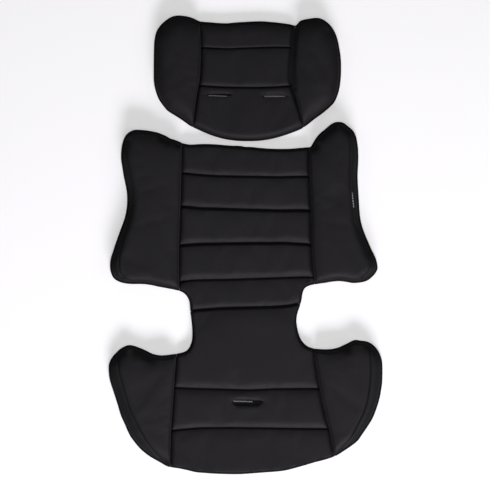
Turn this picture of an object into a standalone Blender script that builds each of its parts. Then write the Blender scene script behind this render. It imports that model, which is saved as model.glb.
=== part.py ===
"""Padded fabric liner for a booster or child seat, lying flat, face up.

Two separate sewn pieces: a head pad with two side wings, and a body pad whose
back, waist and seat are one long run with four more wings.  Each is a lining
cloth underneath, a foam layer on it, and sewn cover panels on top.  The wings
fold up about the seams that join them, and the seat folds up about the seam
below the waist.

Units are metres, +Z up.  The head is at +Y and the padded face looks up.
The origin is on the ground under the middle of the whole outline.

Outlines and seams are drafted on a squared pattern sheet: (u, v) counts
squares to the right and down from the sheet's corner, and GRID is one square.
"""
import bpy
import math
from mathutils import Vector
from mathutils.geometry import delaunay_2d_cdt

# ---- driving dimensions (metres) -------------------------------------------
GRID = 0.0017            # one square of the pattern sheet
SHEET_U = 245.55         # middle of the outline on the sheet
SHEET_V = 244.95
LINING_T = 0.0010        # lining cloth
FOAM_Z = 0.0013          # underside of every foam piece
STRIP_H = 0.0185         # crown height of the padded strips
WAIST_H = 0.0160
HEAD_WING_H = 0.0360
BACK_WING_H = 0.0380
SEAT_WING_H = 0.0360
STRIP_EDGE = 0.0038      # height of a strip's cover at its seams
WING_EDGE = 0.0050       # height of a wing's cover at its edges
STRIP_T, STRIP_GAP = 0.0012, 0.0004     # cover thickness, clearance to the foam
WING_T, WING_GAP = 0.0020, 0.0008
SEAM = 0.0005            # each panel stops this short of a seam in one body
FOLD = 0.0030            # and this short of a seam that folds
LINING_FOLD = 0.0009
STRIP_SHOULDER = 0.024   # a strip is fully crowned this far from its seams
WING_SHOULDER_SEAM = 0.036
WING_SHOULDER_EDGE = 0.021
HEAD_SLOT_W, HEAD_SLOT_H = 0.046, 0.0062
CROTCH_SLOT_W, CROTCH_SLOT_H = 0.056, 0.0070
BINDING_W = 0.0027       # width of the folded binding round a slot
BINDING_TOP = 0.0062
HEAD_SLOTS = ((219.3, 95.8), (275.2, 96.8))     # centres, on the sheet
CROTCH_SLOT = (247.6, 401.7)


def at(u, v):
    return ((u - SHEET_U) * GRID, (SHEET_V - v) * GRID)


def pts(*uv):
    return [at(u, v) for u, v in uv]


# ---- outlines ---------------------------------------------------------------
HEAD = pts(
    (200, 22), (210, 23), (225, 24), (235, 23.2), (250, 22.3), (262, 22), (275, 23), (285, 24.2),
    (290, 25), (294.5, 26.2), (297, 25.2), (300, 21.8), (303, 20.5), (310, 19.2), (316, 18.5), (320, 19),
    (325, 21.5), (330, 26), (334, 32), (337, 40), (339, 50), (340.3, 60), (340.5, 70), (340, 80),
    (338.5, 90), (335, 100), (330.6, 105.7), (322.4, 112.8), (314.8, 118.3), (309.7, 122.4), (305, 126),
    (300, 129), (290, 133), (280, 136.3), (270, 138.8), (262, 140), (255, 140.6), (245, 140.7),
    (235, 140.2), (225, 138.7), (215, 136), (206.6, 132.9), (199.6, 129.8), (193, 126.7), (190, 125.2),
    (182, 119.5), (175, 115), (168, 110.5), (163, 104.5), (159, 98.5), (156, 90), (154.5, 82),
    (154.3, 70), (154.5, 50), (155, 41), (157, 32), (161.3, 25.4), (167.2, 20.2), (173.3, 16.9),
    (180, 16.2), (188, 17.3), (194, 19.3))

BODY = pts(
    (250, 147.5), (260, 148.5), (270, 149.3), (280, 149.5), (290, 149.4), (300, 148.5), (308, 147.8),
    (311, 147.2), (313, 144), (316, 139), (320, 134), (325, 130), (330, 125.7), (334, 123.3),
    (338, 122.4), (343, 123.3), (348, 127), (352, 130.5), (355, 135.5), (356.5, 142), (357.5, 150),
    (357.7, 160), (357.2, 170), (357, 178), (357.5, 188), (358.2, 200), (359, 212), (360, 220),
    (362, 228), (365, 236), (368, 243), (371, 250), (374, 256), (376, 261.5), (377, 267),
    (376.5, 270), (374, 274), (370, 278), (366, 280.5), (360, 282), (353, 282.5), (347, 281.5),
    (340, 280.6), (335, 280.8), (330, 281.4), (325, 282.3), (318, 283.3), (311, 284.5), (306, 286.5),
    (303.5, 289), (302, 293), (301.2, 298), (300.2, 303), (298.2, 309), (296.6, 314), (295.8, 321),
    (296.7, 328), (298.5, 335), (301, 340.5), (305, 345), (309, 347.5), (315, 349), (323, 349.7),
    (331, 349.5), (338, 348), (343, 345.8), (348, 343.5), (352, 341.3), (356, 340.3), (360, 341),
    (365, 341.5), (370, 343.3), (375, 347.5), (378.5, 352.5), (380.8, 358.5), (381.7, 364),
    (381.8, 375), (381.5, 383), (380.5, 390), (379, 398), (376, 408), (372, 418), (366.6, 426.8),
    (361.5, 434.2), (357, 440.5), (350, 446), (343, 450.7), (337, 454.5), (331, 457), (323, 459.5),
    (315, 461.5), (305, 464.5), (295, 467.3), (285, 469.8), (275, 471), (265, 471.7), (255, 472.5),
    (245, 473.2), (240, 473.5), (230, 473.5), (215, 473), (205, 472.3), (196, 471.5), (188, 469.6),
    (180, 467.9), (172, 466.7), (167, 465.5), (161, 462), (156, 459.3), (150, 455.7), (145, 452),
    (140, 447.5), (135, 441.5), (131, 436), (128, 430), (125, 423), (121.4, 415), (118.5, 405),
    (115.6, 396), (113, 388), (110.5, 380), (109.5, 373), (109.3, 366), (110.5, 361.5), (113, 357),
    (117, 352.5), (121, 349), (126, 346.3), (130, 345.5), (135, 346.5), (139, 348), (144, 350),
    (148, 352), (152, 354), (157, 355.3), (162, 355.8), (168, 355.3), (174, 354.5), (180, 353.5),
    (185, 352), (188.5, 349.5), (191, 345), (192.5, 340), (192.9, 333), (192.5, 325), (191.7, 318),
    (190.8, 311), (190.5, 306), (189.8, 301), (187.5, 296), (184, 292.5), (180, 290.5), (174, 289),
    (166, 287.5), (158, 286), (150, 284.3), (142, 283.5), (132, 283.5), (125, 282.8), (119, 281),
    (115, 278.5), (112.5, 275), (111, 270), (110.7, 264), (111.5, 258), (113.5, 252), (116, 244),
    (118.5, 237), (121, 230), (124, 222), (126.3, 214), (127.5, 206), (127.8, 198), (127.3, 191),
    (126, 184), (124.5, 177), (123, 168), (121.8, 160), (121.7, 153), (122.5, 146), (124, 140.5),
    (126, 136), (129, 133), (132, 131.3), (136, 130.3), (143, 130.6), (150, 131.5), (157, 133),
    (160, 134), (166, 136.5), (170, 139), (175, 140.5), (180, 142.5), (182, 143.5), (187, 144.8),
    (192, 145.2), (200, 144.7), (210, 144.7), (220, 145.3), (230, 146.2), (240, 146.5), (245, 147.5))

# ---- seams that run up and down: each is straight where it folds ------------
HEAD_L = pts((200.4, 10), (200.4, 84), (198.3, 98), (194.0, 122), (191.5, 136))
HEAD_R = pts((293.4, 10), (291.9, 50), (291.9, 78), (296.5, 102), (302.5, 123), (306.5, 136))
BACK_L = pts((182.2, 130), (179.2, 300))
BACK_R = pts((308.2, 130), (314.4, 300))
SEAT_L = pts((176.9, 340), (170.2, 480))
SEAT_R = pts((312.6, 340), (339.2, 480))
BACK_GUSSET_L = pts(
    (124.4, 130), (125, 140), (126, 150), (128, 165), (130.5, 178), (132.5, 190), (132.8, 198),
    (132, 206), (130.5, 214), (129, 222), (127, 230), (124.5, 238), (122, 246), (120.3, 254),
    (119.8, 262), (120, 268), (122, 274), (126, 278), (132, 281), (138, 284))
BACK_GUSSET_R = pts(
    (339.5, 122), (344, 128), (348, 133), (349.5, 145), (349.3, 160), (349, 175), (349.8, 188),
    (351, 200), (352.5, 212), (353.5, 222), (356.5, 228), (360, 234), (363.5, 242), (367, 250),
    (369, 256), (369.5, 263), (368, 271), (364, 275.5), (358, 279), (350, 280.5), (344, 282))
SEAT_GUSSET_L = pts(
    (118.2, 345), (118.5, 353), (118.8, 362), (119.5, 370), (122, 380), (124.5, 389), (127.5, 399),
    (131, 409), (135.5, 418), (140, 427), (145, 436), (150, 444), (155, 451), (159, 456),
    (163, 460.5), (164.5, 466))
SEAT_GUSSET_R = pts(
    (367.5, 340), (368, 344), (369, 352), (369.8, 362), (369.8, 372), (369, 382), (368, 390),
    (366.3, 400), (363.8, 408), (361, 415), (357.5, 422), (354, 429), (350.5, 436), (346, 442),
    (342, 447), (340, 455))

# ---- seams that run across ---------------------------------------------------
HEAD_1 = pts((190, 47.5), (201, 48), (215, 48.8), (228, 49.3), (245, 48.6), (260, 48), (275, 47.6),
             (300, 48))
HEAD_2 = pts((188, 85), (200, 86), (210, 87), (225, 87.8), (240, 88), (258, 88.2), (275, 87.6),
             (290, 86.5), (300, 85.5))
BACK_1 = pts((170, 172), (183, 173.5), (200, 175.2), (220, 176.5), (250, 177), (280, 177.5),
             (320, 176.6))
BACK_2 = pts((170, 206), (181, 207), (200, 209), (220, 209.5), (250, 210.5), (280, 211.3), (320, 211))
BACK_3 = pts((170, 246.8), (190, 245.3), (205, 244.5), (250, 243.8), (285, 243.6), (320, 245.2))
BACK_4 = pts((170, 286), (180, 283), (190, 280.5), (200, 280), (230, 279.5), (260, 278.5),
             (290, 277.5), (320, 277.2))
WAIST = pts((100, 307.7), (400, 307.7))
SEAT_1 = pts((160, 386.5), (174, 387), (190, 387.8), (215, 388.5), (250, 389.5), (275, 388.3),
             (340, 387.8))
SEAT_2 = pts((150, 431), (171, 430), (180, 429), (200, 427.3), (230, 427), (270, 427.5), (300, 428),
             (345, 428.2))


# ---- plane geometry ----------------------------------------------------------
def spline_loop(loop, per):
    """A closed Catmull-Rom curve through the loop's points."""
    out, n = [], len(loop)
    for i in range(n):
        a, b, c, d = (Vector(loop[(i + k) % n]) for k in (-1, 0, 1, 2))
        for j in range(per):
            t = j / per
            p = 0.5 * ((2 * b) + (c - a) * t + (2 * a - 5 * b + 4 * c - d) * t * t
                       + (3 * b - a - 3 * c + d) * t ** 3)
            out.append((p.x, p.y))
    return out


def lookup(line, axis, value):
    """The other coordinate of an open line where its own one has this value."""
    o = 1 - axis
    seq = sorted(line, key=lambda p: p[axis])
    lo = 0
    for i in range(len(seq) - 1):
        lo = i
        if value <= seq[i + 1][axis]:
            break
    a, b = seq[lo], seq[lo + 1]
    t = (value - a[axis]) / (b[axis] - a[axis])
    return a[o] + (b[o] - a[o]) * t


def cut(loop, line, axis, keep, gap):
    """Keep the part of a loop on one side of a seam, stopping gap short of it.

    axis 1: the seam gives x for each y.  axis 0: it gives y for each x.
    keep +1 keeps the side of larger coordinate, -1 the smaller one.
    """
    o = 1 - axis

    def side(p):
        return keep * (p[o] - lookup(line, axis, p[axis])) - gap

    n = len(loop)
    vals = [side(p) for p in loop]
    out, cross = [], []
    for i in range(n):
        p, q, a, b = loop[i], loop[(i + 1) % n], vals[i], vals[(i + 1) % n]
        if a >= 0:
            out.append(p)
        if (a >= 0) != (b >= 0):
            t = a / (a - b)
            x = (p[0] + (q[0] - p[0]) * t, p[1] + (q[1] - p[1]) * t)
            out.append(x)
            cross.append((x, a >= 0))
    if len(cross) != 2:
        raise ValueError("a seam crosses its panel %d times" % len(cross))
    leave = next(x for x, leaving in cross if leaving)
    enter = next(x for x, leaving in cross if not leaving)
    k = out.index(leave)
    out = out[k + 1:] + out[:k + 1]
    length = abs(enter[axis] - leave[axis])
    steps = max(1, math.ceil(length / 0.022))
    for j in range(1, steps):
        w = leave[axis] + (enter[axis] - leave[axis]) * j / steps
        v = lookup(line, axis, w) + keep * gap
        out.append((v, w) if axis == 1 else (w, v))
    return out


def thin(loop, tol, longest):
    """Drop the points of a closed loop that hardly bend it, and split long runs."""
    def far(a, b, seq):
        best, where = 0.0, None
        ax, ay = a
        dx, dy = b[0] - ax, b[1] - ay
        n = math.hypot(dx, dy) or 1e-9
        for i, p in enumerate(seq):
            d = abs((p[0] - ax) * dy - (p[1] - ay) * dx) / n
            if d > best:
                best, where = d, i
        return best, where

    def run(seq):
        if len(seq) < 3:
            return seq[:-1]
        d, i = far(seq[0], seq[-1], seq[1:-1])
        if d <= tol:
            return [seq[0]]
        return run(seq[:i + 2]) + run(seq[i + 1:])

    i0 = max(range(len(loop)), key=lambda i: loop[i][0] + loop[i][1])
    i1 = min(range(len(loop)), key=lambda i: loop[i][0] + loop[i][1])
    ring = loop[i0:] + loop[:i0]
    k = (i1 - i0) % len(loop)
    kept = run(ring[:k + 1]) + run(ring[k:] + ring[:1])
    out = []
    for a, b in zip(kept, kept[1:] + kept[:1]):
        m = max(1, math.ceil(math.dist(a, b) / longest))
        out += [(a[0] + (b[0] - a[0]) * j / m, a[1] + (b[1] - a[1]) * j / m) for j in range(m)]
    clean = []
    for p in out:
        if not clean or math.dist(p, clean[-1]) > 0.0012:
            clean.append(p)
    if math.dist(clean[0], clean[-1]) < 0.0012:
        clean.pop()
    return clean


def inside(p, loop):
    hit = False
    for a, b in zip(loop, loop[1:] + loop[:1]):
        if (a[1] > p[1]) != (b[1] > p[1]):
            if p[0] < a[0] + (b[0] - a[0]) * (p[1] - a[1]) / (b[1] - a[1]):
                hit = not hit
    return hit


def to_edge(p, loop):
    best = 1e9
    for a, b in zip(loop, loop[1:] + loop[:1]):
        dx, dy = b[0] - a[0], b[1] - a[1]
        t = ((p[0] - a[0]) * dx + (p[1] - a[1]) * dy) / (dx * dx + dy * dy)
        t = min(1.0, max(0.0, t))
        best = min(best, math.hypot(p[0] - a[0] - t * dx, p[1] - a[1] - t * dy))
    return best


def stadium(cx, cy, w, h, seg=5):
    """A slot's outline with round ends, counter-clockwise."""
    r, half = h / 2, w / 2 - h / 2
    out = []
    for k in range(seg + 1):
        a = -math.pi / 2 + math.pi * k / seg
        out.append((cx + half + r * math.cos(a), cy + r * math.sin(a)))
    for k in range(seg + 1):
        a = math.pi / 2 + math.pi * k / seg
        out.append((cx - half + r * math.cos(a), cy + r * math.sin(a)))
    return out


def fill_points(loop, holes, rings, lattice):
    """Points inside a panel: one or two rings near its edge, then an even lattice."""
    edges = [loop] + holes
    out = []
    for ring in rings:
        apart = max(0.8 * rings[0], 0.6 * ring)
        for e in edges:
            for a, b in zip(e, e[1:] + e[:1]):
                m = ((a[0] + b[0]) / 2, (a[1] + b[1]) / 2)
                L = math.dist(a, b) or 1e-9
                nx, ny = -(b[1] - a[1]) / L, (b[0] - a[0]) / L
                for s in (1, -1):
                    p = (m[0] + s * nx * ring, m[1] + s * ny * ring)
                    if inside(p, loop) and not any(inside(p, h) for h in holes):
                        if min(to_edge(p, x) for x in edges) > 0.93 * ring:
                            if all(math.dist(p, q) > apart for q in out):
                                out.append(p)
    xs, ys = [p[0] for p in loop], [p[1] for p in loop]
    row, y = 0, min(ys) + lattice / 2
    while y < max(ys):
        x = min(xs) + lattice * (0.5 if row % 2 else 0.0)
        while x < max(xs):
            p = (x, y)
            if inside(p, loop) and not any(inside(p, h) for h in holes):
                if min(to_edge(p, e) for e in edges) > rings[-1] + 0.25 * lattice:
                    if all(math.dist(p, q) > 0.45 * lattice for q in out):
                        out.append(p)
            x += lattice
        y += lattice * 0.866
        row += 1
    return out


def triangulate(loops, extra):
    """Triangles over the plane with every loop's sides kept as edges."""
    verts, edges = [], []
    for loop in loops:
        k = len(verts)
        verts += [Vector(p) for p in loop]
        edges += [(k + i, k + (i + 1) % len(loop)) for i in range(len(loop))]
    verts += [Vector(p) for p in extra]
    v, _, f, _, _, _ = delaunay_2d_cdt(verts, edges, [], 0, 1e-7, False)
    v = [(p.x, p.y) for p in v]
    tri = []
    for t in f:
        a, b, c = (v[i] for i in t)
        area = (b[0] - a[0]) * (c[1] - a[1]) - (b[1] - a[1]) * (c[0] - a[0])
        if abs(area) > 1e-12:
            tri.append(tuple(t) if area > 0 else tuple(reversed(t)))
    return v, tri


def within(v, tri, loop, holes=()):
    out = []
    for t in tri:
        m = (sum(v[i][0] for i in t) / 3, sum(v[i][1] for i in t) / 3)
        if inside(m, loop) and not any(inside(m, h) for h in holes):
            out.append(t)
    return out


# ---- solids ------------------------------------------------------------------
def material(name, color, rough):
    mat = bpy.data.materials.get(name) or bpy.data.materials.new(name)
    mat.use_nodes = True
    bsdf = mat.node_tree.nodes["Principled BSDF"]
    bsdf.inputs["Base Color"].default_value = (*color, 1.0)
    bsdf.inputs["Roughness"].default_value = rough
    bsdf.inputs["Metallic"].default_value = 0.0
    mat.diffuse_color = (*color, 1.0)
    return mat


COLORS = {
    "knit": ((0.020, 0.018, 0.024), 0.85),
    "gusset": ((0.017, 0.018, 0.019), 0.80),
    "foam": ((0.55, 0.53, 0.48), 0.95),
    "lining": ((0.05, 0.05, 0.055), 0.80),
    "binding": ((0.012, 0.012, 0.014), 0.70),
    "label": ((0.10, 0.10, 0.11), 0.60),
}


def make(name, verts, faces, kind, parent):
    me = bpy.data.meshes.new(name)
    org = parent.matrix_world.translation
    me.from_pydata([(x - org.x, y - org.y, z - org.z) for x, y, z in verts], [], faces)
    me.validate()
    ob = bpy.data.objects.new(name, me)
    bpy.context.scene.collection.objects.link(ob)
    ob.parent = parent
    color, rough = COLORS[kind]
    me.materials.append(material(name + "_" + kind, color, rough))
    return ob


def solid(name, v, tri, top, bottom, kind, parent):
    """A closed solid over some triangles, between two heights given per point."""
    used = sorted({i for t in tri for i in t})
    idx = {i: k for k, i in enumerate(used)}
    n = len(used)
    verts = [(v[i][0], v[i][1], top(v[i])) for i in used]
    verts += [(v[i][0], v[i][1], bottom(v[i])) for i in used]
    faces = [tuple(idx[i] for i in t) for t in tri]
    faces += [tuple(n + idx[i] for i in reversed(t)) for t in tri]
    sides = {}
    for t in tri:
        for a, b in zip(t, t[1:] + t[:1]):
            if (b, a) in sides:
                del sides[(b, a)]
            else:
                sides[(a, b)] = True
    for a, b in sides:
        faces.append((idx[b], idx[a], n + idx[a], n + idx[b]))
    return make(name, verts, faces, kind, parent)


def plain(name, loop, holes, z0, z1, kind, parent):
    """A flat sheet with the given outline and holes."""
    v, tri = triangulate([loop] + holes, [])
    return solid(name, v, within(v, tri, loop, holes), lambda p: z1, lambda p: z0, kind, parent)


def crown(t):
    t = min(1.0, max(0.0, t))
    return math.sin(t * math.pi / 2) ** 0.85


def centre_pad(parent, panels, height, foam_name, foam_loop, holes_of):
    """Several crowned strips side by side on one channelled foam layer."""
    all_holes = [h for hs in holes_of.values() for h in hs]
    loops, extra = [foam_loop] + all_holes, []
    for name, loop in panels.items():
        loops.append(loop)
        extra += fill_points(loop, holes_of.get(name, []), (0.0075, 0.0185), 0.028)
    v, tri = triangulate(loops, extra)

    def top(p):
        for name, loop in panels.items():
            edges = [loop] + holes_of.get(name, [])
            d = min(to_edge(p, e) for e in edges)
            if inside(p, loop) and d > 1e-6:
                return STRIP_EDGE + (height.get(name, STRIP_H) - STRIP_EDGE) * crown(
                    d / STRIP_SHOULDER)
        return STRIP_EDGE

    cache = {p: top(p) for p in v}
    for name, loop in panels.items():
        solid(name, v, within(v, tri, loop, all_holes), lambda p: cache[p],
              lambda p: cache[p] - STRIP_T, "knit", parent)
    solid(foam_name, v, within(v, tri, foam_loop, all_holes),
          lambda p: cache[p] - STRIP_T - STRIP_GAP, lambda p: FOAM_Z, "foam", parent)


def wing_pad(parent, names, loop, gusset, axis_side, H):
    """A thick wing: a crowned cover panel and, on most, a sloping gusset band."""
    cover, band, foam = names
    parts = {}
    if gusset:
        parts[cover] = cut(loop, gusset, 1, axis_side, 0.00025)
        parts[band] = cut(loop, gusset, 1, -axis_side, 0.00025)
    else:
        parts[cover] = loop
    outer = loop
    loops, extra = ([outer] if gusset else []), []
    for name, sub in parts.items():
        loops.append(sub)
        extra += fill_points(sub, [], (0.0095,), 0.028)
    v, tri = triangulate(loops, extra)

    def top(p):
        d_edge = to_edge(p, outer_open)
        d_seam = to_edge(p, seam_open)
        k = min(crown(d_edge / WING_SHOULDER_EDGE), crown(d_seam / WING_SHOULDER_SEAM))
        return WING_EDGE + (H - WING_EDGE) * k

    seam_open, outer_open = split_sides(outer, parent, axis_side)
    cache = {p: top(p) for p in v}
    for name, sub in parts.items():
        solid(name, v, within(v, tri, sub), lambda p: cache[p], lambda p: cache[p] - WING_T,
              "knit" if name == cover else "gusset", parent)
    solid(foam, v, within(v, tri, outer), lambda p: cache[p] - WING_T - WING_GAP,
          lambda p: FOAM_Z, "foam", parent)


def split_sides(loop, parent, axis_side):
    """The wing's fold side and its free side, each as a there-and-back loop."""
    lines = parent["seam"], parent["fold"]
    seam = SEAMS[lines[0]]
    gap = lines[1]
    on = [abs(p[0] - lookup(seam, 1, p[1])) < gap + 0.0008 for p in loop]
    n = len(loop)
    start = next(i for i in range(n) if not on[i] and on[(i + 1) % n])
    seam_pts, i = [], (start + 1) % n
    while on[i]:
        seam_pts.append(loop[i])
        i = (i + 1) % n
    free = [seam_pts[-1]]
    while not on[i]:
        free.append(loop[i])
        i = (i + 1) % n
    free.append(seam_pts[0])
    return seam_pts + seam_pts[-2:0:-1], free + free[-2:0:-1]


SEAMS = {"HEAD_L": HEAD_L, "HEAD_R": HEAD_R, "BACK_L": BACK_L, "BACK_R": BACK_R,
         "SEAT_L": SEAT_L, "SEAT_R": SEAT_R}


def empty(name, at_xy, parent=None):
    ob = bpy.data.objects.new(name, None)
    bpy.context.scene.collection.objects.link(ob)
    ob.location = (at_xy[0], at_xy[1], 0.0)
    if parent:
        ob.parent = parent
        ob.location = (at_xy[0] - parent.matrix_world.translation.x,
                       at_xy[1] - parent.matrix_world.translation.y, 0.0)
    bpy.context.view_layer.update()
    return ob


def ring(name, centre, w, h, width, z0, z1, parent):
    """A flat band round a slot."""
    inner = stadium(centre[0], centre[1], w, h)
    outer = stadium(centre[0], centre[1], w + 2 * width, h + 2 * width)
    n = len(inner)
    verts = [(x, y, z) for loop, z in ((outer, z0), (outer, z1), (inner, z1), (inner, z0))
             for x, y in loop]
    faces = []
    for k in range(4):
        for i in range(n):
            j = (i + 1) % n
            a, b = k * n, ((k + 1) % 4) * n
            faces.append((a + i, a + j, b + j, b + i))
    return make(name, verts, faces, "binding", parent)


def strip_box(name, cx, cy, z, w, h, t, kind, parent):
    """A short flat length of woven tape with clipped corners."""
    c = min(w, h) * 0.2
    x, y = w / 2, h / 2
    loop = [(cx + a, cy + b) for a, b in (
        (-x + c, -y), (x - c, -y), (x, -y + c), (x, y - c), (x - c, y), (-x + c, y), (-x, y - c),
        (-x, -y + c))]
    return plain(name, loop, [], z, z + t, kind, parent)


def build():
    for ob in list(bpy.data.objects):
        bpy.data.objects.remove(ob, do_unlink=True)

    head_loop = thin(spline_loop(HEAD, 3), 0.0005, 0.026)
    body_loop = thin(spline_loop(BODY, 3), 0.0005, 0.026)
    back_loop = cut(body_loop, WAIST, 0, 1, 0.0)
    seat_loop = cut(body_loop, WAIST, 0, -1, 0.0)

    back = empty("back", (0.0, 0.0))
    seat = empty("seat", (0.0, at(0, WAIST_V)[1]), back)
    head = empty("head", (0.0, at(0, 80)[1]), back)

    def part_of(loop, cuts):
        for line, axis, keep, gap in cuts:
            loop = cut(loop, line, axis, keep, gap)
        return loop

    panel = part_of

    # head: three strips, two slots in the lowest one
    mid = [(HEAD_L, 1, 1, FOLD), (HEAD_R, 1, -1, FOLD)]
    panels = {
        "head_panel_top": panel(head_loop, mid + [(HEAD_1, 0, 1, SEAM)]),
        "head_panel_middle": panel(head_loop, mid + [(HEAD_1, 0, -1, SEAM), (HEAD_2, 0, 1, SEAM)]),
        "head_panel_lower": panel(head_loop, mid + [(HEAD_2, 0, -1, SEAM)]),
    }
    slots = [at(*c) for c in HEAD_SLOTS]
    grow = 2 * BINDING_W + 0.0006
    holes = [stadium(x, y, HEAD_SLOT_W + grow, HEAD_SLOT_H + grow) for x, y in slots]
    centre_pad(head, panels, {}, "head_foam", panel(head_loop, mid), {"head_panel_lower": holes})
    plain("head_lining", part_of(head_loop, [(HEAD_L, 1, 1, LINING_FOLD),
                                                  (HEAD_R, 1, -1, LINING_FOLD)]),
          [stadium(x, y, HEAD_SLOT_W, HEAD_SLOT_H) for x, y in slots], 0.0, LINING_T, "lining",
          head)
    for side, (x, y) in zip(("left", "right"), slots):
        ring("head_slot_binding_" + side, (x, y), HEAD_SLOT_W, HEAD_SLOT_H, BINDING_W, FOAM_Z,
             BINDING_TOP, head)
        strip_box("head_slot_label_" + side, x, y - HEAD_SLOT_H / 2 - BINDING_W / 2,
                  BINDING_TOP + 0.0003, 0.038, 0.0024, 0.0005, "label", head)

    # back: four strips and the waist strip
    mid = [(BACK_L, 1, 1, FOLD), (BACK_R, 1, -1, FOLD)]
    low = [(WAIST, 0, 1, FOLD)]
    panels = {
        "back_panel_1": panel(back_loop, mid + [(BACK_1, 0, 1, SEAM)]),
        "back_panel_2": panel(back_loop, mid + [(BACK_1, 0, -1, SEAM), (BACK_2, 0, 1, SEAM)]),
        "back_panel_3": panel(back_loop, mid + [(BACK_2, 0, -1, SEAM), (BACK_3, 0, 1, SEAM)]),
        "back_panel_4": panel(back_loop, mid + [(BACK_3, 0, -1, SEAM), (BACK_4, 0, 1, SEAM)]),
        "waist_panel": panel(back_loop, mid + [(BACK_4, 0, -1, SEAM)] + low),
    }
    centre_pad(back, panels, {"waist_panel": WAIST_H}, "back_foam", panel(back_loop, mid + low), {})
    plain("back_lining", part_of(back_loop, [(BACK_L, 1, 1, LINING_FOLD),
                                                  (BACK_R, 1, -1, LINING_FOLD),
                                                  (WAIST, 0, 1, LINING_FOLD)]),
          [], 0.0, LINING_T, "lining", back)

    # seat: three strips, one slot in the middle one
    mid = [(SEAT_L, 1, 1, FOLD), (SEAT_R, 1, -1, FOLD)]
    high = [(WAIST, 0, -1, FOLD)]
    panels = {
        "seat_panel_1": panel(seat_loop, mid + high + [(SEAT_1, 0, 1, SEAM)]),
        "seat_panel_2": panel(seat_loop, mid + [(SEAT_1, 0, -1, SEAM), (SEAT_2, 0, 1, SEAM)]),
        "seat_panel_3": panel(seat_loop, mid + [(SEAT_2, 0, -1, SEAM)]),
    }
    x, y = at(*CROTCH_SLOT)
    hole = stadium(x, y, CROTCH_SLOT_W + grow, CROTCH_SLOT_H + grow)
    centre_pad(seat, panels, {}, "seat_foam", panel(seat_loop, mid + high), {"seat_panel_2": [hole]})
    plain("seat_lining", part_of(seat_loop, [(SEAT_L, 1, 1, LINING_FOLD),
                                                  (SEAT_R, 1, -1, LINING_FOLD),
                                                  (WAIST, 0, -1, LINING_FOLD)]),
          [stadium(x, y, CROTCH_SLOT_W, CROTCH_SLOT_H)], 0.0, LINING_T, "lining", seat)
    ring("crotch_slot_binding", (x, y), CROTCH_SLOT_W, CROTCH_SLOT_H, BINDING_W, FOAM_Z,
         BINDING_TOP, seat)
    strip_box("crotch_slot_label", x - 0.007, y - CROTCH_SLOT_H / 2 - BINDING_W / 2,
              BINDING_TOP + 0.0003, 0.036, 0.0024, 0.0005, "label", seat)

    # wings: body, source loop, seam, side of the seam that stays with the middle
    wings = (
        ("head_wing_left", head_loop, "HEAD_L", 1, None, HEAD_WING_H, head, 60),
        ("head_wing_right", head_loop, "HEAD_R", -1, None, HEAD_WING_H, head, 60),
        ("back_wing_left", back_loop, "BACK_L", 1, BACK_GUSSET_L, BACK_WING_H, back, 210),
        ("back_wing_right", back_loop, "BACK_R", -1, BACK_GUSSET_R, BACK_WING_H, back, 210),
        ("seat_wing_left", seat_loop, "SEAT_L", 1, SEAT_GUSSET_L, SEAT_WING_H, seat, 405),
        ("seat_wing_right", seat_loop, "SEAT_R", -1, SEAT_GUSSET_R, SEAT_WING_H, seat, 405),
    )
    for name, loop, seam, side, gusset, H, body, v_mid in wings:
        y = at(0, v_mid)[1]
        joint = empty(name, (lookup(SEAMS[seam], 1, y), y), body)
        joint["seam"], joint["fold"] = seam, FOLD
        wing_pad(joint, (name + "_cover", name + "_gusset", name + "_foam"),
                 cut(loop, SEAMS[seam], 1, -side, FOLD), gusset, side, H)
        plain(name + "_lining", cut(loop, SEAMS[seam], 1, -side, LINING_FOLD),
              [], 0.0, LINING_T, "lining", joint)
        if name == "back_wing_right":
            tx, ty = at(352.0, 200.5)
            strip_box("side_tag", tx, ty, BACK_WING_H + 0.0004, 0.005, 0.025, 0.0006, "label",
                      joint)


WAIST_V = 307.7

if __name__ == "__main__":
    build()
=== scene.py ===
"""Looks of a padded fabric liner for a booster seat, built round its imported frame.

Metres, +Z up, head towards +Y, lying flat with the padded face up.
"""
import math

import bpy
import numpy as np
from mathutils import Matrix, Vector, kdtree, noise
from mathutils.geometry import delaunay_2d_cdt


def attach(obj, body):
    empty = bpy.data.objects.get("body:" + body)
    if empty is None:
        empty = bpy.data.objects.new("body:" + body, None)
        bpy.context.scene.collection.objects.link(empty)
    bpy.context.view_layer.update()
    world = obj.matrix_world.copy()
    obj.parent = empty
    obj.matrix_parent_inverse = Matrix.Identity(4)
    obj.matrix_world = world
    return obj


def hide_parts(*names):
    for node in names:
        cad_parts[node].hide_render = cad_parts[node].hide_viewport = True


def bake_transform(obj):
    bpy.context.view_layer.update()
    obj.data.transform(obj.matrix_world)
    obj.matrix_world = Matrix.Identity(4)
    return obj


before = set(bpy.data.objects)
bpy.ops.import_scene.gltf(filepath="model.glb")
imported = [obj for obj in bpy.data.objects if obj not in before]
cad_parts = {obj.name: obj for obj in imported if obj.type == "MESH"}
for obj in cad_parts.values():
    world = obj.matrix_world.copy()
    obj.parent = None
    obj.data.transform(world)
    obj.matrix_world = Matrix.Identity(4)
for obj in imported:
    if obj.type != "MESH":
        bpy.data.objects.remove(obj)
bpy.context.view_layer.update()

# ---------------------------------------------------------------- pattern sheet
GRID = 0.0017            # one square of the pattern sheet
SHEET_U, SHEET_V = 245.55, 244.95
MM = 0.001


def at(u, v):
    return ((u - SHEET_U) * GRID, (SHEET_V - v) * GRID)


def pts(*uv):
    return [at(u, v) for u, v in uv]


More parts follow.
